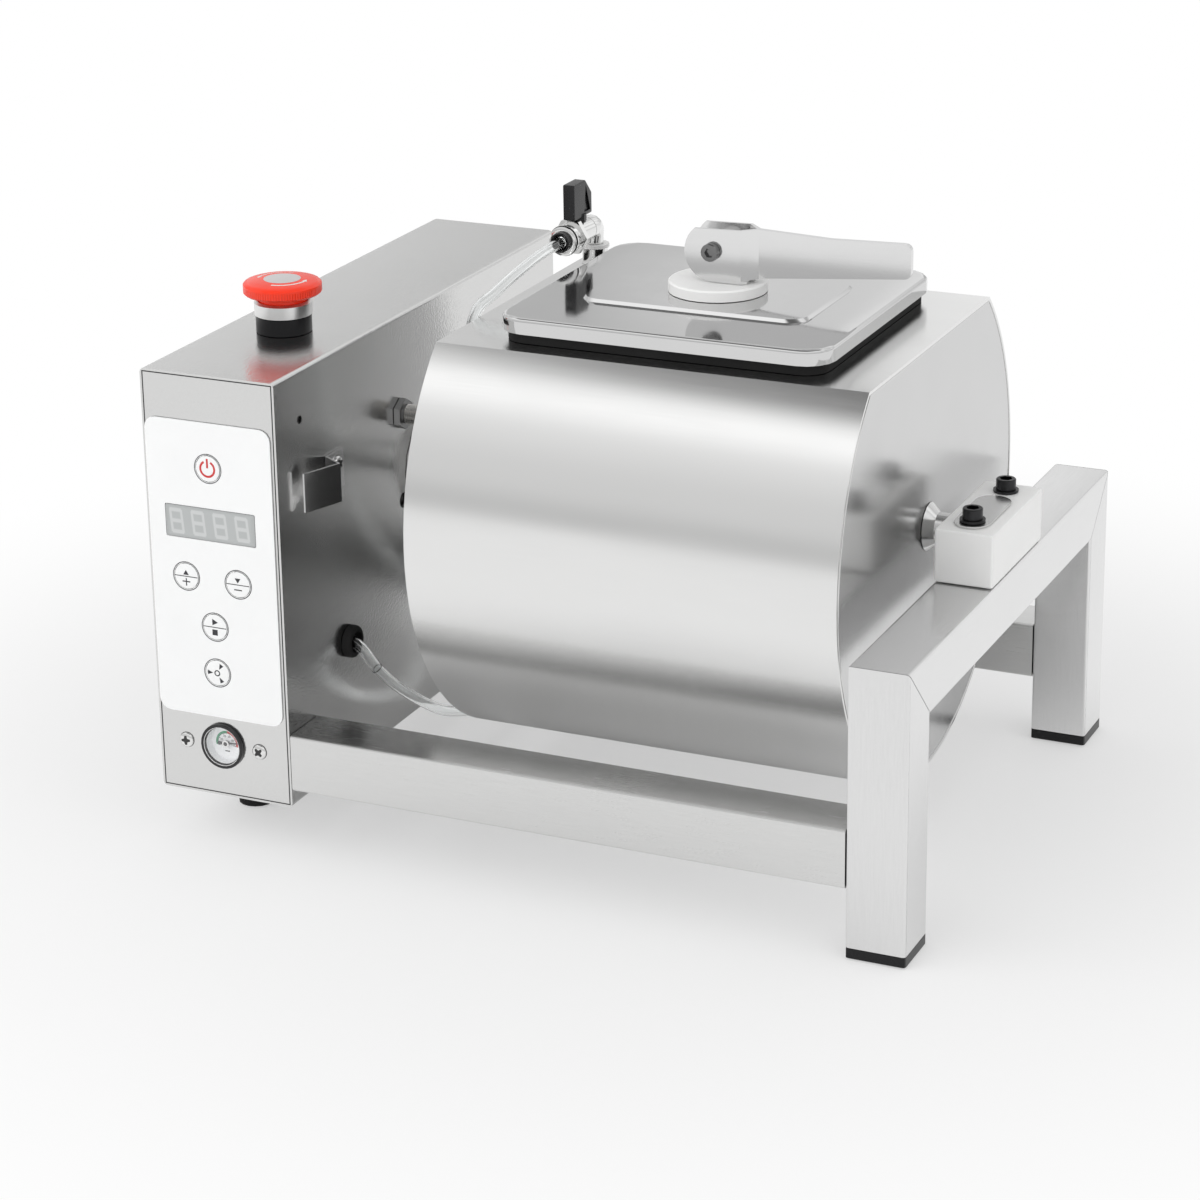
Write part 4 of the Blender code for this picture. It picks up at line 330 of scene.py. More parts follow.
# Scales of the noises, in steps per metre
GRAIN_ACROSS = 2600.0
GRAIN_ALONG = 60.0
SMUDGE = 14.0
CLOUD = 34.0
FLECK = 900.0
MOULD_GRAIN = 1700.0
# Depths of the reliefs, in metres
BRUSH_DEPTH = 0.000012
SATIN_DEPTH = 0.000004
MOULD_DEPTH = 0.00002
PORE_DEPTH = 0.00003


def brushed(name, along, base=None, roughness=0.27, strength=0.30, sandy=0.0):
    """Brushed steel with fine lines along one axis, faint smudges and, if sandy, a mottled grain."""
    base = base or colours().steel
    finish = Finish(name, base, roughness, 1.0)
    scale = [GRAIN_ACROSS] * 3
    scale["xyz".index(along)] = GRAIN_ALONG
    grain = finish.noise(scale, detail=3)
    smudge = finish.noise(SMUDGE, detail=3, roughness=0.6)
    fine = finish.noise(FLECK, detail=1)
    finish.set("Roughness", roughness + (grain - 0.5) * 0.16 + (smudge - 0.5) * 0.14)
    finish.tint((grain - 0.35) * 0.5 + (fine - 0.5) * 0.25, toned(base, 0.84))
    finish.bump(grain + fine * sandy, BRUSH_DEPTH, strength)
    return finish.material


def polished(name, base=None, roughness=0.09, wave=0.0):
    """Polished steel with a faint haze, wiping marks and, on thin sheet, a slow unevenness."""
    base = base or colours().polished
    finish = Finish(name, base, roughness, 1.0)
    haze = finish.noise(CLOUD, detail=4, roughness=0.6)
    wiping = finish.noise((GRAIN_ALONG * 2, GRAIN_ALONG * 2, GRAIN_ACROSS / 4), detail=2)
    finish.set("Roughness", roughness + (haze - 0.5) * 0.09 + (wiping - 0.5) * 0.05)
    finish.tint((haze - 0.4) * 0.45, toned(base, 0.90))
    if wave:
        slow = finish.noise(SMUDGE, detail=1)
        finish.bump(slow, wave, 1.0)
    return finish.material


def satin(name, along, roughness=0.20, base=None):
    """Rolled steel with a soft sheen: fine lines along one axis, slow unevenness and a faint haze."""
    base = base or colours().polished
    finish = Finish(name, base, roughness, 1.0)
    scale = [GRAIN_ACROSS] * 3
    scale["xyz".index(along)] = GRAIN_ALONG / 2
    grain = finish.noise(scale, detail=3)
    haze = finish.noise((CLOUD / 3, CLOUD, CLOUD), detail=3, roughness=0.6)
    finish.set("Roughness", roughness + (grain - 0.5) * 0.05 + (haze - 0.5) * 0.09)
    finish.tint((grain - 0.4) * 0.25 + (haze - 0.5) * 0.2, toned(base, 0.88))
    finish.bump(grain, SATIN_DEPTH, 0.15)
    return finish.material


def ribbed(name, base, centre, ribs):
    """Plastic cap whose rim has fine upright ribs round its axis, with painted shade in the grooves between
    them.
    """
    rim_from, rim_full = 0.0192, 0.0197
    ribs_fade, ribs_end = 0.0040, 0.0046
    rib_depth = 0.0003
    finish = Finish(name, base, 0.24, 0.0, specular_ior_level=0.35)
    where = own_place(finish.tree)
    x, y, z = where.node("ShaderNodeVectorMath", {"operation": "SUBTRACT"}, [where, centre]).separated()
    out = (x * x + y * y).math("SQRT")
    on_rim = out.step(rim_from, rim_full) * (1 - z.step(ribs_fade, ribs_end))
    teeth = (y.math("ARCTAN2", x) * ribs).math("SINE") * on_rim
    flow = finish.noise(CLOUD, detail=3)
    finish.set("Roughness", 0.20 + flow * 0.12)
    # Painted shade: the grooves between the ribs are darkened, besides the random flow marks
    finish.tint((flow - 0.45) * 0.5 + (1 - teeth) * on_rim * 0.18, toned(base, 0.72))
    finish.bump(teeth * 0.5 + 0.5, rib_depth, 0.8)
    return finish.material


def moulded(name, base, roughness=0.42, depth=MOULD_DEPTH, **constants):
    """Moulded plastic with a fine grain and slight flow marks."""
    finish = Finish(name, base, roughness, 0.0, **constants)
    grain = finish.noise(MOULD_GRAIN, detail=2)
    flow = finish.noise(CLOUD, detail=3)
    finish.set("Roughness", roughness + (grain - 0.5) * 0.12 + (flow - 0.5) * 0.10)
    finish.tint((flow - 0.4) * 0.4, toned(base, 0.86))
    finish.bump(grain, depth, 0.5)
    return finish.material


def rubber(name):
    """Matt rubber with dust in its pores."""
    base = colours().rubber
    finish = Finish(name, base, 0.7, specular_ior_level=0.25)
    pores = finish.noise(FLECK, detail=4)
    dust = finish.noise(CLOUD, detail=3)
    finish.set("Roughness", 0.62 + pores * 0.2)
    finish.tint((dust - 0.42) * 0.5 + (pores - 0.5) * 0.2, (0.045, 0.045, 0.044))
    finish.bump(pores, PORE_DEPTH, 0.6)
    return finish.material


def ink(name, base, roughness=0.45):
    """Screen-printed ink, slightly uneven in cover."""
    finish = Finish(name, base, roughness)
    cover = finish.noise(FLECK, detail=2)
    finish.tint((cover - 0.5) * 0.5, [min(c * 1.6 + 0.02, 1) for c in base])
    return finish.material


def circuit_board():
    """Green board with copper tracks under its varnish."""
    finish = Finish("circuit_board", colours().board, 0.35)
    tracks = add_node(
        finish.tree, "ShaderNodeTexBrick", {"offset": 0.5},
        {"Vector": finish.place(), "Scale": 90.0, "Mortar Size": 0.03}, output=1,
    )
    finish.tint(tracks * 0.6, (0.06, 0.32, 0.13))
    return finish.material


def clear_hose():
    """Clear soft plastic with a faint haze."""
    finish = Finish("clear_hose", (0.97, 0.98, 0.98), 0.02, ior=1.40, transmission_weight=1.0)
    haze = finish.noise(CLOUD, detail=2)
    finish.set("Roughness", haze * 0.02)
    return finish.material


def gauge_glass():
    """Thin clear pane."""
    return Finish("gauge_glass", (1.0, 1.0, 1.0), 0.03, alpha=0.06).material


def display_pane():
    """Grey window with the ghosts of four unlit seven-segment digits behind it."""
    finish = Finish("display_pane", colours().display, 0.16, coat_weight=0.4, coat_roughness=0.05)
    low, high = corners("display_window")
    centre = (low + high) / 2
    along, _, up = own_place(finish.tree).separated()
    x = (along - centre.x) / (high.x - low.x)
    z = (up - centre.z) / (high.z - low.z)
    digits, slant, spread = 4, 0.03, 1.02
    inside = ((x + z * slant + 0.5) * digits * spread).math("FRACT") - 0.5
    half_wide, half_tall, stroke = 0.25, 0.34, 0.035
    bars = 1 - abs(abs(inside) - half_wide).step(stroke, stroke * 2.2)
    bars = bars * (1 - abs(z).step(half_tall, half_tall + stroke))
    rung = abs(abs(abs(z) - half_tall / 2) - half_tall / 2)
    rungs = (1 - rung.step(stroke, stroke * 2.4)) * (1 - abs(inside).step(half_wide, half_wide + stroke))
    lit = bars.math("MAXIMUM", rungs)
    edge = abs(x).step(0.44, 0.5).math("MAXIMUM", abs(z).step(0.40, 0.5))
    base = mixed(finish.tree, lit * 0.55, colours().display, (0.66, 0.67, 0.67))
    finish.set("Base Color", mixed(finish.tree, edge * 0.35, base, (0.30, 0.31, 0.31)))
    return finish.material


# Meshes

def placed(name, data):
    """A new object in the scene."""
    item = bpy.data.objects.new(name, data)
    bpy.context.collection.objects.link(item)
    return item


def piece(name, bm, material, body):
    """Turn a bmesh into an object that rides on a body."""
    bmesh.ops.recalc_face_normals(bm, faces=bm.faces)
    mesh = bpy.data.meshes.new(name)
    bm.to_mesh(mesh)
    bm.free()
    mesh.shade_smooth()
    mesh.set_sharp_from_angle(angle=SMOOTH)
    mesh.materials.append(material)
    item = placed(name, mesh)
    if body:
        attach(item, body)
    return item


def towards(axis):
    """Rotation that turns +Z to an axis."""
    return Vector(axis).to_track_quat("Z", "Y").to_matrix().to_4x4()


def lathe(profile, steps=SMALL_STEPS):
    """Solid of revolution about Z from (radius, height) points, with a bore if none is on the axis."""
    bm = bmesh.new()
    verts = [bm.verts.new((radius, 0, height)) for radius, height in profile]
    edges = [bm.edges.new(pair) for pair in zip(verts, verts[1:])]
    if min(radius for radius, height in profile) > 0:
        edges.append(bm.edges.new((verts[-1], verts[0])))
    bmesh.ops.spin(
        bm, geom=verts + edges, cent=(0, 0, 0), axis=(0, 0, 1), angle=math.tau, steps=steps, use_merge=True
    )
    bmesh.ops.remove_doubles(bm, verts=bm.verts[:], dist=HAIR / 10)
    return bm


def put(bm, place, axis=(0, 0, 1)):
    """Turn a bmesh's +Z to an axis and move it to its place."""
    bm.transform(Matrix.Translation(Vector(place)) @ towards(axis))
    return bm


def stand(bm, place):
    """Stand a flat shape upright, its top to the front, and move it to its place."""
    bm.transform(Matrix.Translation(place) @ Matrix.Rotation(QUARTER, 4, "X"))
    return bm


def slab(outline, thickness=HAIR, holes=()):
    """Flat plate from z = 0 up, with holes; as thin as print if no thickness is given."""
    bm = bmesh.new()
    for loop in (outline, *holes):
        ring = [bm.verts.new((x, y, 0)) for x, y in loop]
        for start, end in zip(ring, ring[1:] + ring[:1]):
            bm.edges.new((start, end))
    bmesh.ops.triangle_fill(bm, use_beauty=True, use_dissolve=False, edges=bm.edges[:])
    raised = bmesh.ops.extrude_face_region(bm, geom=bm.faces[:])["geom"]
    tops = [item for item in raised if isinstance(item, bmesh.types.BMVert)]
    bmesh.ops.translate(bm, vec=(0, 0, thickness), verts=tops)
    return bm


def turns(count):
    """Angles of a full turn in even steps."""
    return [math.tau * i / count for i in range(count)]


def circle(radius, steps=SMALL_STEPS, start=0.0, end=math.tau):
    """Points round a circle or, if it stops short of a turn, along an arc with both ends."""
    whole = abs(end - start - math.tau) < HAIR
    count = steps if whole else steps + 1
    angles = [start + (end - start) * i / steps for i in range(count)]
    return [(radius * math.cos(t), radius * math.sin(t)) for t in angles]


def hoop(centre, radius, across="z", steps=SMALL_STEPS):
    """Points of a circle in space, in the plane that an axis crosses."""
    first, second = [i for i in range(3) if i != "xyz".index(across)]
    points = [Vector(centre) for t in turns(steps)]
    for point, t in zip(points, turns(steps)):
        point[first] += radius * math.cos(t)
        point[second] += radius * math.sin(t)
    return points


def band(inner, outer, start, end, steps=SMALL_STEPS):
    """Outline of part of a ring."""
    return circle(outer, steps, start, end) + circle(inner, steps, start, end)[::-1]


def flat_ring(outer, inner, steps=SMALL_STEPS):
    """Printed ring."""
    return slab(circle(outer, steps), HAIR, [circle(inner, steps)[::-1]])


def rotated(points, turn):
    """Flat points turned about the origin."""
    cos, sin = math.cos(turn), math.sin(turn)
    return [(x * cos - y * sin, x * sin + y * cos) for x, y in points]


def rectangle(left, bottom, right, top):
    """Corners of a rectangle."""
    return [(left, bottom), (right, bottom), (right, top), (left, top)]


def merged(*parts):
    """Several bmeshes in one."""
    whole = bmesh.new()
    for part in parts:
        mesh = bpy.data.meshes.new("part")
        part.to_mesh(mesh)
        part.free()
        whole.from_mesh(mesh)
        bpy.data.meshes.remove(mesh)
    return whole


def tube(points, radius, sides=12, closed=False, inner=0.0):
    """Tube along points, its section kept from twisting; hollow if an inner radius is given."""
    bm = bmesh.new()
    points = [Vector(p) for p in points]
    count = len(points)
    tangents = []
    for i in range(count):
        before = points[i - 1] if closed or i else points[i]
        after = points[(i + 1) % count] if closed or i + 1 < count else points[i]
        tangents.append((after - before).normalized())
    normal = tangents[0].orthogonal().normalized()
    rings = {}
    for level in (radius, inner) if inner else (radius,):
        across = normal
        rings[level] = []
        for point, tangent in zip(points, tangents):
            across = (across - tangent * across.dot(tangent)).normalized()
            third = tangent.cross(across)
            spokes = [across * math.cos(t) + third * math.sin(t) for t in turns(sides)]
            rings[level].append([bm.verts.new(point + spoke * level) for spoke in spokes])
    for level, loops in rings.items():
        following = loops[1:] + (loops[:1] if closed else [])
        for lower, upper in zip(loops, following):
            for k in range(sides):
                bm.faces.new((lower[k - 1], lower[k], upper[k], upper[k - 1]))
    if not closed:
        for end in (0, -1):
            if inner:
                outside, inside = rings[radius][end], rings[inner][end]
                for k in range(sides):
                    bm.faces.new((outside[k - 1], outside[k], inside[k], inside[k - 1]))
            else:
                bm.faces.new(rings[radius][end])
    return bm


def curved(points, spacing):
    """Points at an even spacing along a smooth curve through the given points."""
    nodes = [Vector(p) for p in points]
    padded = [2 * nodes[0] - nodes[1]] + nodes + [2 * nodes[-1] - nodes[-2]]
    fine = []
    parts = 12
    for before, start, end, after in zip(padded, padded[1:], padded[2:], padded[3:]):
        for i in range(parts):
            t = i / parts
            fine.append(0.5 * (
                2 * start + (end - before) * t + (2 * before - 5 * start + 4 * end - after) * t * t
                + (3 * start - before - 3 * end + after) * t * t * t
            ))
    fine.append(nodes[-1])
    lengths = [0.0]
    for start, end in zip(fine, fine[1:]):
        lengths.append(lengths[-1] + (end - start).length)
    count = round(lengths[-1] / spacing)
    route, at = [], 0
    for i in range(count + 1):
        target = lengths[-1] * i / count
        while at + 2 < len(fine) and lengths[at + 1] < target:
            at += 1
        share = (target - lengths[at]) / (lengths[at + 1] - lengths[at])
        route.append(fine[at].lerp(fine[at + 1], min(share, 1)))
    return route


def dress(names, material):
    """Give CAD nodes a finish."""
    for name in names.split():
        for slot in NODES[name].material_slots:
            slot.material = material


def round_off(node):
    """Shade a CAD node's curved faces smooth and keep its edges sharp, without moving a vertex."""
    mesh = node.data
    for name in ("custom_normal", "sharp_edge"):
        if name in mesh.attributes:
            mesh.attributes.remove(mesh.attributes[name])
    mesh.shade_smooth()
    node.modifiers.new("joined_faces", "WELD").merge_threshold = HAIR / 10
    edges = node.modifiers.new("sharp_edges", "EDGE_SPLIT")
    edges.split_angle = SHARP
    edges.use_edge_sharp = False
    node.modifiers.new("flat_faces", "WEIGHTED_NORMAL").keep_sharp = True


def write_text(name, body, text, height, place, material):
    """Plain printed digits that face the front."""
    curve = bpy.data.curves.new(name, "FONT")
    curve.body = text
    curve.size = height
    curve.align_x = curve.align_y = "CENTER"
    curve.extrude = HAIR / 2
    curve.resolution_u = 3
    curve.materials.append(material)
    item = placed(name, curve)
    item.location = place
    item.rotation_euler = (QUARTER, 0, 0)
    bpy.context.view_layer.update()
    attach(item, body)


def dome_head(radius, height):
    """Round screw head, its face towards +Z."""
    collar, arc_steps = 0.3, 7
    profile = [(0, 0), (radius, 0), (radius, height * collar)]
    for i in range(1, arc_steps):
        turn = QUARTER * i / arc_steps
        profile.append((radius * math.cos(turn), height * (collar + (1 - collar) * math.sin(turn))))
    profile.append((0, height))
    return lathe(profile)


def cross_recess(radius, height):
    """Cross in the top of a screw head, with four arms that narrow outwards, painted dark as the shade in its
    recess.
    """
    arm, root, tip = radius * 0.62, radius * 0.24, radius * 0.13
    depth = 0.0003
    outline = []
    for i in range(4):
        outline += rotated([(root, -root), (arm, -tip), (arm, tip)], QUARTER * i)
    bm = slab(outline, depth)
    bmesh.ops.translate(bm, vec=(0, 0, height - depth), verts=bm.verts[:])
    return bm


def add_screw(name, place, facing, radius, height, turn, bright, dark):
    """Cross-headed screw on the cabinet, with painted shade in its cross and a painted shadow line round its
    head.
    """
    where = Matrix.Translation(Vector(place)) @ towards(facing) @ Matrix.Rotation(turn, 4, "Z")
    for word, bm, finish, slot in (
        ("_head", dome_head(radius, height), bright, "polished_steel"),
        # A thin near-black ring round the head: a painted shadow line
        ("_seat_shadow", flat_ring(radius * 1.06, radius * 0.98), dark, "black_oxide"),
        # A near-black cross: painted shade in the recess
        ("_cross", cross_recess(radius, height), dark, "black_oxide"),
    ):
        bm.transform(where)
        piece(name + word, bm, finish, "cabinet")


# Operators

class TUMBLER_OT_smooth(bpy.types.Operator):
    """Shade the round faces of the model smooth"""
    bl_idname = "tumbler.smooth"
    bl_label = "Smooth shading"

    def execute(self, context):
        for node in NODES.values():
            round_off(node)
        return {"FINISHED"}


class TUMBLER_OT_steel(bpy.types.Operator):
    """Finish the steel of cabinet, frame, drum, lid and valve"""
    bl_idname = "tumbler.steel"
    bl_label = "Steel"

    def execute(self, context):
        cabinet = brushed("cabinet_steel", "y", roughness=0.18, strength=0.6, sandy=9.0)
        dress("cabinet_shell cabinet_back_cover cabinet_base_plate", cabinet)
        dress("rail_front rail_back", brushed("rail_steel", "x", roughness=0.24, strength=0.14))
        dress("leg_front leg_back", brushed("leg_steel", "z", [0.74] * 3, 0.22, 0.14))
        dress("beam", brushed("beam_steel", "y", [0.74] * 3, 0.20, 0.14))
        dress("bearing_plate", brushed("plate_steel", "y", roughness=0.22))
        dress("hose_clip", brushed("clip_steel", "z", [0.80] * 3, 0.22))
        dress("pressure_plate baffle_front baffle_back", brushed("inner_steel", "x", roughness=0.3))
        dress("drum_shell", satin("drum_sheet", "x"))
        dress("drum_end_right", satin("end_sheen", "z", 0.20, [0.60] * 3))
        dress("drum_end_left", satin("end_sheet", "z", 0.24, [0.50] * 3))
        dress("lid_cover", polished("lid_sheet", [0.64] * 3, 0.08, wave=0.00009))
        dress("cam_lever", satin("lever_steel", "x", 0.15, [0.74] * 3))
        dress("pivot_bolt", polished("pivot_steel", [0.20] * 3, 0.20))
        dress("clamp_stud drive_shaft support_shaft", polished("bolt_steel", roughness=0.15))
        dress("valve_bung valve_elbow valve_body", polished("valve_chrome", roughness=0.08))
        dress("estop_collar", satin("collar_silver", "z", 0.30))
        dress("position_sensor gearmotor", brushed("dark_steel", "x", colours().dark_steel, 0.32))
        return {"FINISHED"}


class TUMBLER_OT_plastics(bpy.types.Operator):
    """Finish the plastics, rubber and electric pieces"""
    bl_idname = "tumbler.plastics"
    bl_label = "Plastics and rubber"

    def execute(self, context):
        tones = colours()
        nylon = moulded("nylon", tones.nylon, 0.38, subsurface_weight=0.15, subsurface_radius=(0.004,) * 3)
        dress("bearing_block nylon_disc valve_washer wall_bearing", nylon)
        black = moulded("black_plastic", tones.black, 0.30, specular_ior_level=0.28)
        dress("estop_base_ring estop_stem estop_contact_block power_inlet leg_cap_front leg_cap_back", black)
        dress("gauge_case", moulded("bezel_black", tones.black, 0.16, specular_ior_level=0.5))
        dress("valve_knob hose_fitting", moulded("knob_black", tones.black, 0.28, specular_ior_level=0.4))
        dress("gauge_needle", ink("needle_black", tones.ink))
        dress("lid_gasket hose_grommet foot_front foot_back", rubber("rubber"))
        cap = middle("estop_mushroom")
        dress("estop_mushroom", ribbed("stop_red", tones.red, tuple(cap), ribs=90))
        dress("gauge_dial", moulded("dial_white", (0.93, 0.94, 0.95), 0.5))
        dress("control_panel", moulded("panel_film", tones.panel, 0.40, depth=0.000015))
        dress("key_power key_up key_down key_start key_vacuum", moulded("key_film", tones.panel, 0.36))
        dress("display_window", display_pane())
        dress("control_board", circuit_board())
        dress("vacuum_pump", moulded("pump_paint", tones.motor, 0.40))
        oxide = brushed("black_oxide", "z", (0.045, 0.045, 0.047), 0.34, 0.6)
        dress("block_screw_front block_screw_back", oxide)
        return {"FINISHED"}


class TUMBLER_OT_hose(bpy.types.Operator):
    """Make the clear vacuum hose from the grommet to the drum's fitting"""
    bl_idname = "tumbler.hose"
    bl_label = "Vacuum hose"

    def execute(self, context):
        size = sizes()
        route = curved(HOSE_ROUTE, spacing=0.004)
        hollow = tube(route, size.hose_outer, sides=20, inner=size.hose_inner)
        hose = piece("clear_vacuum_hose", hollow, clear_hose(), None)
        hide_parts("vacuum_hose")
        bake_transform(hose)
        run = sum((b - a).length for a, b in zip(route, route[1:]))
        before, joint, after = (Vector(point) for point in HOSE_ROUTE[1:4])
        line_radius = 0.00025
        ring = tube(hoop((0, 0, 0), size.hose_outer), line_radius, sides=6, closed=True)
        line = put(ring, joint, after - before)
        piece("hose_joint_line", line, ink("joint_dark", (0.01, 0.01, 0.01)), "cabinet")
        return {"FINISHED"}


KEYS = ("power", "up", "down", "start", "vacuum")


class TUMBLER_OT_panel_print(bpy.types.Operator):
    """Print the rings and signs on the keys"""
    bl_idname = "tumbler.panel_print"
    bl_label = "Panel print"

    def print_on(self, name, parts, key, material, on_film=False, enlarged=1.0):
        """Lay flat shapes on a key's face, or on the film round it, once they are enlarged."""
        centre = middle("key_" + key)
        face = side("control_panel" if on_film else "key_" + key, "y", False)
        bm = merged(*parts)
        bmesh.ops.scale(bm, vec=(enlarged, enlarged, 1), verts=bm.verts[:])
        stand(bm, (centre.x, face, centre.z))
        piece(name, bm, material, "cabinet" if on_film else key + "_key")

    def execute(self, context):
        dark = ink("panel_ink", colours().ink)
        red = ink("power_red", colours().sign_red)
        line, ring = sizes().print_line, sizes().key_ring
        chord = half_breadth("key_power") - line / 2

        def divider():
            return slab(rectangle(-chord, -line / 2, chord, line / 2))

        def triangle(foot, point, half=0.0016):
            return slab([(-half, foot), (half, foot), (0, point)])

        for key in KEYS:
            rings = [flat_ring(ring, ring - line, ROUND_STEPS)]
            self.print_on("key_%s_ring" % key, rings, key, dark, on_film=True)

        half_gap = math.radians(28)
        arc_outer, arc_width = 0.0039, 0.00095
        arc = band(arc_outer - arc_width, arc_outer, QUARTER + half_gap, 5 * QUARTER - half_gap)
        bar = rectangle(-0.00045, 0.0004, 0.00045, 0.0046)
        self.print_on("power_sign", [slab(arc), slab(bar)], "power", red, enlarged=1.15)

        near, far = 0.0008, 0.00336
        self.print_on("up_sign", [divider(), triangle(near, far)], "up", dark)
        self.print_on("down_sign", [divider(), triangle(far, near)], "down", dark)

        arm, half, bottom, top = 0.0022, 0.0003, -0.0030, -0.0024
        low, high = -0.0049, -0.0010
        plus = [
            (-half, low), (half, low), (half, bottom), (arm, bottom), (arm, top), (half, top),
            (half, high), (-half, high), (-half, top), (-arm, top), (-arm, bottom), (-half, bottom),
        ]
        self.print_on("plus_sign", [slab(plus)], "up", dark)
        self.print_on("minus_sign", [slab(rectangle(-arm, bottom, arm, top))], "down", dark)

        play = slab([(-0.0013, 0.0010), (0.0019, 0.0027), (-0.0013, 0.0044)])
        stop = slab(rectangle(-0.0015, -0.0042, 0.0015, -0.0012))
        self.print_on("start_sign", [divider(), play, stop], "start", dark)

        inward = [(-0.0008, 0.0036), (0.0008, 0.0036), (0, 0.0016)]
        arrows = [slab(rotated(inward, math.tau * i / 3 + QUARTER)) for i in range(3)]
        self.print_on("vacuum_sign", arrows + [flat_ring(0.0011, 0.0007)], "vacuum", dark, enlarged=1.5)
        return {"FINISHED"}


class TUMBLER_OT_gauge(bpy.types.Operator):
    """Print the gauge's dial, and add its glass, hub and the two screws beside it"""
    bl_idname = "tumbler.gauge"
    bl_label = "Vacuum gauge"

    def execute(self, context):
        centre = middle("gauge_dial")
        face = side("gauge_dial", "y", False)
        case_front = side("gauge_case", "y", False)
        tones = colours()
        dark = ink("dial_ink", tones.ink)
        start, top, end = math.radians(196), math.radians(88), math.radians(-16)

        def on_dial(name, parts, material):
            bm = stand(merged(*parts), (centre.x, face, centre.z))
            piece(name, bm, material, "cabinet")

        def about_axis(name, profile, depth, material, body, steps=ROUND_STEPS):
            bm = put(lathe(profile, steps), (centre.x, depth, centre.z), FORWARD)
            piece(name, bm, material, body)

        inner, outer = 0.0051, 0.0064
        on_dial("dial_green_arc", [slab(band(inner, outer, top, start))], ink("dial_green", tones.sign_green))
        on_dial("dial_red_arc", [slab(band(inner, outer, end, top))], ink("dial_red", tones.sign_red))

        ticks, count, tick_end = [], 20, 0.0055
        for i in range(count + 1):
            root, half = (0.0049, 0.00008) if i % 4 else (0.0045, 0.00013)
            tick = rotated(rectangle(root, -half, tick_end, half), start + (end - start) * i / count)
            ticks.append(slab(tick, HAIR * 1.5))
        on_dial("dial_ticks", ticks, dark)

        numbers_at, number_height = 0.0036, 0.0016
        for i in range(6):
            word = str(20 * i)
            ((x, z),) = rotated([(numbers_at, 0)], start + (end - start) * i / 5)
            place = (centre.x + x, face - HAIR, centre.z + z)
            write_text("dial_number_" + word, "cabinet", word, number_height, place, dark)
        on_dial("dial_unit_mark", [slab(rectangle(-0.0014, -0.0048, 0.0014, -0.0042))], dark)

        bore, rim, low, high = 0.0011, 0.0019, 0.0003, 0.0004
        needle_face = side("gauge_needle", "y", False)
        about_axis(
            "needle_hub_ring", [(bore, 0), (rim, 0), (rim, low), (bore, high)], needle_face,
            polished("hub_steel", roughness=0.15), "needle", SMALL_STEPS,
        )

        rim, flat, low, high = 0.0102, 0.0098, 0.0007, 0.0009
        glass_back = case_front + 0.0013
        about_axis(
            "gauge_glass_pane", [(0, 0), (rim, 0), (rim, low), (flat, high), (0, high)], glass_back,
            gauge_glass(), "cabinet",
        )

        bore, rim, depth = 0.0101, 0.0104, 0.0003
        about_axis(
            "gauge_rim_line", [(bore, 0), (rim, 0), (rim, depth), (bore, depth)], glass_back - high,
            polished("rim_chrome", roughness=0.1), "cabinet",
        )

        front = side("cabinet_shell", "y", False)
        bright = polished("screw_steel", roughness=0.18)
        # Near black, painted as the shade in the screws' crosses and round their heads
        shade_ink = ink("painted_recess_shade", SHADE_BLACK)
        apart, radius, height = 0.021, sizes().gauge_screw, 0.0018
        for word, offset in (("left", -1), ("right", 1)):
            place = (centre.x + offset * apart, front, centre.z)
            turn = 0.4 + 0.35 * offset
            add_screw("gauge_screw_" + word, place, FORWARD, radius, height, turn, bright, shade_ink)

        bore, rim, lip = 0.0091, 0.0096, 0.0094
        depth = face - case_front - 0.0016
        about_axis(
            "gauge_liner", [(bore, 0), (rim, 0), (rim, depth), (lip, depth)], face,
            moulded("liner_white", (0.82, 0.83, 0.84), 0.35), "cabinet",
        )
        return {"FINISHED"}


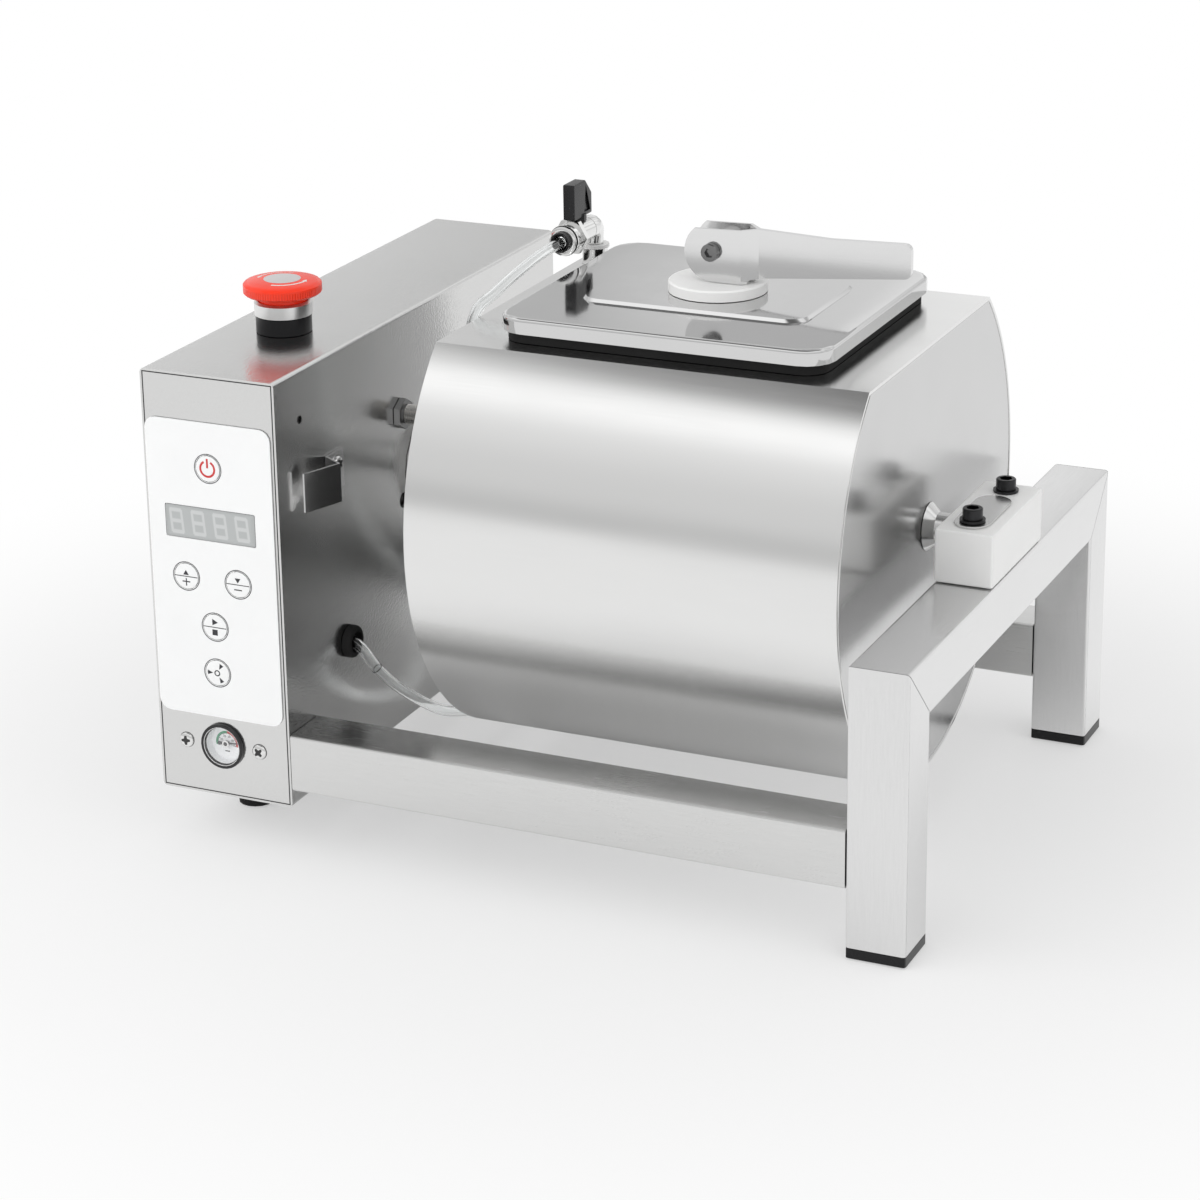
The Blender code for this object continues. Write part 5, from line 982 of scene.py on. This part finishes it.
class TUMBLER_OT_fasteners(bpy.types.Operator):
    """Add the small screws, the painted shadow rings round two holes, the fitting's nut, the sensor's thread
    and the weld beads
    """
    bl_idname = "tumbler.fasteners"
    bl_label = "Fasteners and welds"

    def execute(self, context):
        self.on_cabinet()
        self.on_fitting()
        self.sensor_thread()
        self.welds()
        return {"FINISHED"}

    def on_cabinet(self):
        """The hose clip's screw, painted shadow rings round two holes in the wall and painted shade along the
        front plate's seam.
        """
        wall = side("cabinet_shell", "x")
        bright = polished("fastener_steel", roughness=0.16)
        # Near black, painted as the shade in the clip screw's cross and round its head
        shade_ink = ink("painted_clip_shade", SHADE_BLACK)
        clip_sheet, height, turn = 0.0012, 0.0024, 0.5
        place = (wall + GAP + clip_sheet, -0.1015, 0.191)
        add_screw("clip_screw", place, (1, 0, 0), sizes().clip_screw, height, turn, bright, shade_ink)

        # Thin near-black rings at the edges of two holes: painted shadow
        rim, rim_radius = ink("rim_shadow", SHADE_BLACK), 0.0003
        for name, y, z, radius in (("peep_rim_shadow", -0.134, 0.223, 0.0019), ("spare_rim_shadow", -0.029, 0.148, 0.0039)):
            ring = hoop((wall, y, z), radius, "x")
            piece(name, tube(ring, rim_radius, sides=6, closed=True), rim, "cabinet")

        # A thin near-black frame just inside the front plate's outline: painted shade in its seam
        low, high = corners("cabinet_shell")
        outer, inner = (
            rectangle(low.x + inset, low.z + inset, high.x - inset, high.z - inset)
            for inset in (0.0011, 0.0017)
        )
        seam = stand(slab(outer, HAIR, [inner[::-1]]), (0, low.y, 0))
        piece("front_plate_seam", seam, ink("painted_seam_shade", SHADE_BLACK), "cabinet")

    def on_fitting(self):
        """The nut of the hose fitting, with a seal let into it."""
        x, _, z = middle("hose_fitting")
        y = side("hose_fitting", "y") + HAIR
        bore = half_breadth("hose_fitting") + HAIR
        steps = (
            (0, 0), (0.0028, 0), (0.0028, 0.0010), (0.0018, 0.0011), (0.0018, 0.0018), (0.0023, 0.0019),
            (0.0023, 0.0026), (0.0012, 0.0030), (0, 0.0030),
        )
        nut = put(lathe([(bore + out, up) for out, up in steps], ROUND_STEPS), (x, y, z), FORWARD)
        piece("fitting_nut", nut, polished("fitting_chrome", roughness=0.1), "drum")
        groove, seal_at, seal_size = 0.0022, 0.00145, 0.0004
        ring = hoop((x, y - seal_at, z), bore + groove, "y", ROUND_STEPS)
        seal = tube(ring, seal_size, sides=8, closed=True)
        piece("fitting_seal", seal, rubber("seal_rubber"), "drum")

    def sensor_thread(self):
        """Fine thread on the position sensor."""
        sensor = middle("position_sensor")
        root, crest, bore = 0.0049, 0.0053, 0.0044
        pitch, count, bare_end = 0.0010, 9, 0.0035
        start = side("position_sensor", "x") - bare_end - count * pitch
        profile = []
        for i in range(count):
            profile += [(root, i * pitch), (crest, (i + 0.5) * pitch)]
        profile += [(root, count * pitch), (bore, count * pitch), (bore, 0)]
        thread = put(lathe(profile), (start, sensor.y, sensor.z), (1, 0, 0))
        steel = brushed("thread_steel", "x", [0.45, 0.44, 0.42], 0.22)
        piece("sensor_thread", thread, steel, "cabinet")

    def welds(self):
        """Weld beads round both ends of the drum and round the foot of the valve."""
        bead = sizes().bead
        weld = brushed("weld_steel", "x", roughness=0.22)
        axis_z = middle("drive_shaft").z
        low, high = corners("drum_shell")
        inset, round_steps, flat_steps, seam_share = 0.0021, 96, 24, 0.6
        radius = (high.y - low.y) / 2 - inset
        half_gap = math.acos((high.z - axis_z - inset) / radius)
        loop = circle(radius, round_steps, QUARTER + half_gap, 5 * QUARTER - half_gap)
        (first, height), (last, _) = loop[-1], loop[0]
        loop += [(first + (last - first) * i / flat_steps, height) for i in range(1, flat_steps)]
        for name, x in (("end_seam_left", low.x), ("end_seam_right", high.x)):
            points = [(x, y, axis_z + z) for y, z in loop]
            seam = tube(points, bead * seam_share, sides=6, closed=True)
            piece(name, seam, weld, "drum")

        foot = middle("valve_bung")
        foot.z = side("valve_bung", "z", False)
        ring = hoop(foot, half_breadth("valve_bung"), steps=32)
        piece("bung_weld", tube(ring, bead, sides=8, closed=True), weld, "drum")


class TUMBLER_OT_stop(bpy.types.Operator):
    """Put the two turning arrows and a bare label on the emergency stop's cap"""
    bl_idname = "tumbler.stop"
    bl_label = "Emergency stop"

    def execute(self, context):
        pale = ink("arrow_print", (0.84, 0.80, 0.78))
        silver = moulded("cap_label", (0.62, 0.60, 0.60), 0.30)
        parts, first_turn = [], -0.55
        inner, outer, barb_inner, barb_outer, point_at = 0.0123, 0.0133, 0.0115, 0.0141, 0.0128
        for turn in (first_turn, math.pi + first_turn):
            tail, root, tip = turn - 0.95, turn + 0.55, turn + 0.80
            parts.append(slab(band(inner, outer, tail, root, 20)))
            head = ((barb_inner, root), (barb_outer, root), (point_at, tip))
            parts.append(slab([(out * math.cos(t), out * math.sin(t)) for out, t in head]))
        self.lay("stop_arrows", merged(*parts), pale)
        # Narrow rings, so that the label can follow the curve of the cap
        width, count = 0.00157, 6
        rings = [slab(circle(width, ROUND_STEPS))]
        rings += [flat_ring(width * (i + 1), width * i, ROUND_STEPS) for i in range(1, count)]
        self.lay("stop_label", merged(*rings), silver)
        return {"FINISHED"}

    def lay(self, name, bm, material):
        """Lay a flat print on the curved top of the cap."""
        cap = NODES["estop_mushroom"]
        centre = middle("estop_mushroom")
        above = side("estop_mushroom", "z") + GAP
        for vert in bm.verts:
            start = Vector((centre.x + vert.co.x, centre.y + vert.co.y, above))
            hit, place, _, _ = cap.ray_cast(start, Vector((0, 0, -1)))
            if not hit:
                raise RuntimeError("the print reaches past the cap")
            vert.co = Vector((start.x, start.y, place.z + HAIR * 0.5 + vert.co.z))
        piece(name, bm, material, "stop_cap")


LENS = 102.65  # millimetres, like the sensor
SENSOR = 36.0
CAMERA_PLACE = (0.67444, -1.52265, 0.72797)
CAMERA_RIGHT = (0.91052, 0.413224, -0.014115)
CAMERA_DOWN = (0.119963, -0.296694, -0.947408)
CAMERA_FORWARD = (-0.395679, 0.86094, -0.319718)
CAMERA_SHIFT = -0.1


class TUMBLER_OT_stage(bpy.types.Operator):
    """Set up the camera, the pale floor and the soft studio light"""
    bl_idname = "tumbler.stage"
    bl_label = "Stage"

    def camera(self):
        """Camera at the photograph's place and angle."""
        data = bpy.data.cameras.new("photo_camera")
        data.lens = LENS
        data.sensor_width = SENSOR
        data.shift_y = CAMERA_SHIFT
        item = placed("photo_camera", data)
        axes = Matrix((Vector(CAMERA_RIGHT), -Vector(CAMERA_DOWN), -Vector(CAMERA_FORWARD))).transposed()
        item.matrix_world = Matrix.Translation(CAMERA_PLACE) @ axes.to_4x4()
        bpy.context.scene.camera = item

    def lamp(self, name, place, aim, size, power):
        """Large soft lamp."""
        data = bpy.data.lights.new(name, "AREA")
        data.shape = "RECTANGLE"
        data.size, data.size_y = size
        data.energy = power
        item = placed(name, data)
        item.location = place
        item.rotation_euler = (Vector(aim) - Vector(place)).to_track_quat("-Z", "Y").to_euler()
        item.visible_glossy = False

    def floor(self):
        """Pale floor that fades into the white background, and is white far out where steel mirrors it."""
        radius, thickness, sunk = 4.0, 0.01, 0.001
        bm = slab(circle(radius, steps=64), thickness)
        bm.transform(Matrix.Translation((0, 0, -thickness - sunk)))
        finish = Finish("floor", (0.90, 0.90, 0.90), 0.9, specular_ior_level=0.1)
        floor = piece("studio_floor", bm, finish.material, None)
        tree = finish.tree
        where = own_place(tree)
        distance = where.node("ShaderNodeVectorMath", {"operation": "LENGTH"}, [where], output=1)
        camera, mirrored, through = ray_kinds(tree)
        white = add_node(tree, "ShaderNodeEmission", None, {"Color": (1, 1, 1, 1), "Strength": 1.0})
        # The share of white grows outwards, and grows closer in where steel mirrors the floor
        seen_near, seen_from, seen_to = 0.45, 0.26, 0.62
        share = (seen_near + (1 - seen_near) * distance.step(seen_from, seen_to)) * (camera + through)
        steel_near, steel_far, steel_from, steel_to = 0.04, 0.96, 0.13, 0.34
        growth = (steel_far - steel_near) * distance.step(steel_from, steel_to)
        share = share + (steel_near + growth) * mirrored
        matt = Wire(tree, finish.shader.outputs[0])
        both = add_node(tree, "ShaderNodeMixShader", None, [share, matt, white])
        tree.links.new(both.socket, tree.nodes["Material Output"].inputs["Surface"])

    def world(self):
        """White to the camera, even to matt faces, and a room to the steel.

        Heights run from 0 at the horizon to 1 overhead.
        """
        world = bpy.data.worlds.new("studio")
        bpy.context.scene.world = world
        world.use_nodes = True
        tree = world.node_tree
        tree.nodes.clear()
        ways = add_node(tree, "ShaderNodeTexCoord", output=0)
        _, depth, up = ways.separated()
        # In front, a pale wall that brightens upwards, a bright strip and a dark ceiling above it
        strip_at, strip_half, strip_level = 0.74, 0.16, 0.40
        strip = (1 - abs(up - strip_at).step(0.0, strip_half)) * strip_level
        ceiling = up.step(0.79, 0.88)
        front_level, front_rise, front_ceiling = 0.78, 0.13, 0.74
        front = front_level + up.step(0.35, 0.60) * front_rise + strip - ceiling * front_ceiling
        # Behind, a cloudy wall under the same ceiling
        cloud = add_node(tree, "ShaderNodeTexNoise", None, {"Vector": ways, "Scale": 5.5, "Detail": 2.0})
        wall_level, cloud_level, wall_ceiling = 0.60, 0.46, 0.3
        wall = wall_level + cloud.step(0.36, 0.60) * cloud_level - ceiling * wall_ceiling
        # All round, a darker line at the horizon
        line_at, line_level = 0.05, 0.18
        line = (1 - abs(up - line_at).step(0.02, 0.14)) * line_level
        behind = depth.step(-0.3, 0.5)
        room = front * (1 - behind) + wall * behind - line
        camera, glossy, through = ray_kinds(tree)
        lost_in_glass = 0.35
        level = bpy.context.scene.tumbler_studio.surround - through * lost_in_glass
        strength = camera + (1 - camera) * (glossy * room + (1 - glossy) * level)
        light = add_node(tree, "ShaderNodeBackground", None, {"Color": (1, 1, 1, 1), "Strength": strength})
        out = tree.nodes.new("ShaderNodeOutputWorld")
        tree.links.new(light.socket, out.inputs["Surface"])

    def execute(self, context):
        studio = context.scene.tumbler_studio
        self.camera()
        self.floor()
        self.world()
        aim = (0, 0, 0.14)
        self.lamp("key_lamp", (-1.0, -1.6, 1.2), aim, (2.6, 2.0), studio.key)
        self.lamp("fill_lamp", (1.6, -0.7, 0.9), aim, (1.8, 1.8), studio.fill)
        self.lamp("top_lamp", (0.0, 0.2, 1.7), aim, (2.4, 2.0), studio.top)
        context.scene.view_settings.view_transform = "Standard"
        return {"FINISHED"}


class TUMBLER_PT_sidebar(bpy.types.Panel):
    """Lists the steps, the sizes and the colours"""
    bl_idname = "TUMBLER_PT_sidebar"
    bl_label = "Vacuum tumbler"
    bl_space_type = "VIEW_3D"
    bl_region_type = "UI"
    bl_category = "Tumbler"

    def draw(self, context):
        layout = self.layout
        for step in STEPS:
            layout.operator(step.bl_idname)
        for name in GROUPS:
            group = getattr(context.scene, name)
            for setting in group.__annotations__:
                layout.prop(group, setting)


STEPS = (
    TUMBLER_OT_stage,
    TUMBLER_OT_smooth,
    TUMBLER_OT_hose,
    TUMBLER_OT_steel,
    TUMBLER_OT_plastics,
    TUMBLER_OT_panel_print,
    TUMBLER_OT_gauge,
    TUMBLER_OT_stop,
    TUMBLER_OT_fasteners,
)
GROUPS = {"tumbler_sizes": TumblerSizes, "tumbler_colours": TumblerColours, "tumbler_studio": TumblerStudio}
CLASSES = (*GROUPS.values(), *STEPS, TUMBLER_PT_sidebar)


def register():
    """Make the classes and their settings known."""
    for item in CLASSES:
        bpy.utils.register_class(item)
    for name, group in GROUPS.items():
        setattr(bpy.types.Scene, name, bpy.props.PointerProperty(type=group))


def unregister():
    """Take them away again."""
    for name in GROUPS:
        delattr(bpy.types.Scene, name)
    for item in reversed(CLASSES):
        bpy.utils.unregister_class(item)


def main():
    """Run each step in turn."""
    register()
    for step in STEPS:
        group, name = step.bl_idname.split(".")
        getattr(getattr(bpy.ops, group), name)()


if __name__ == "__main__":
    main()
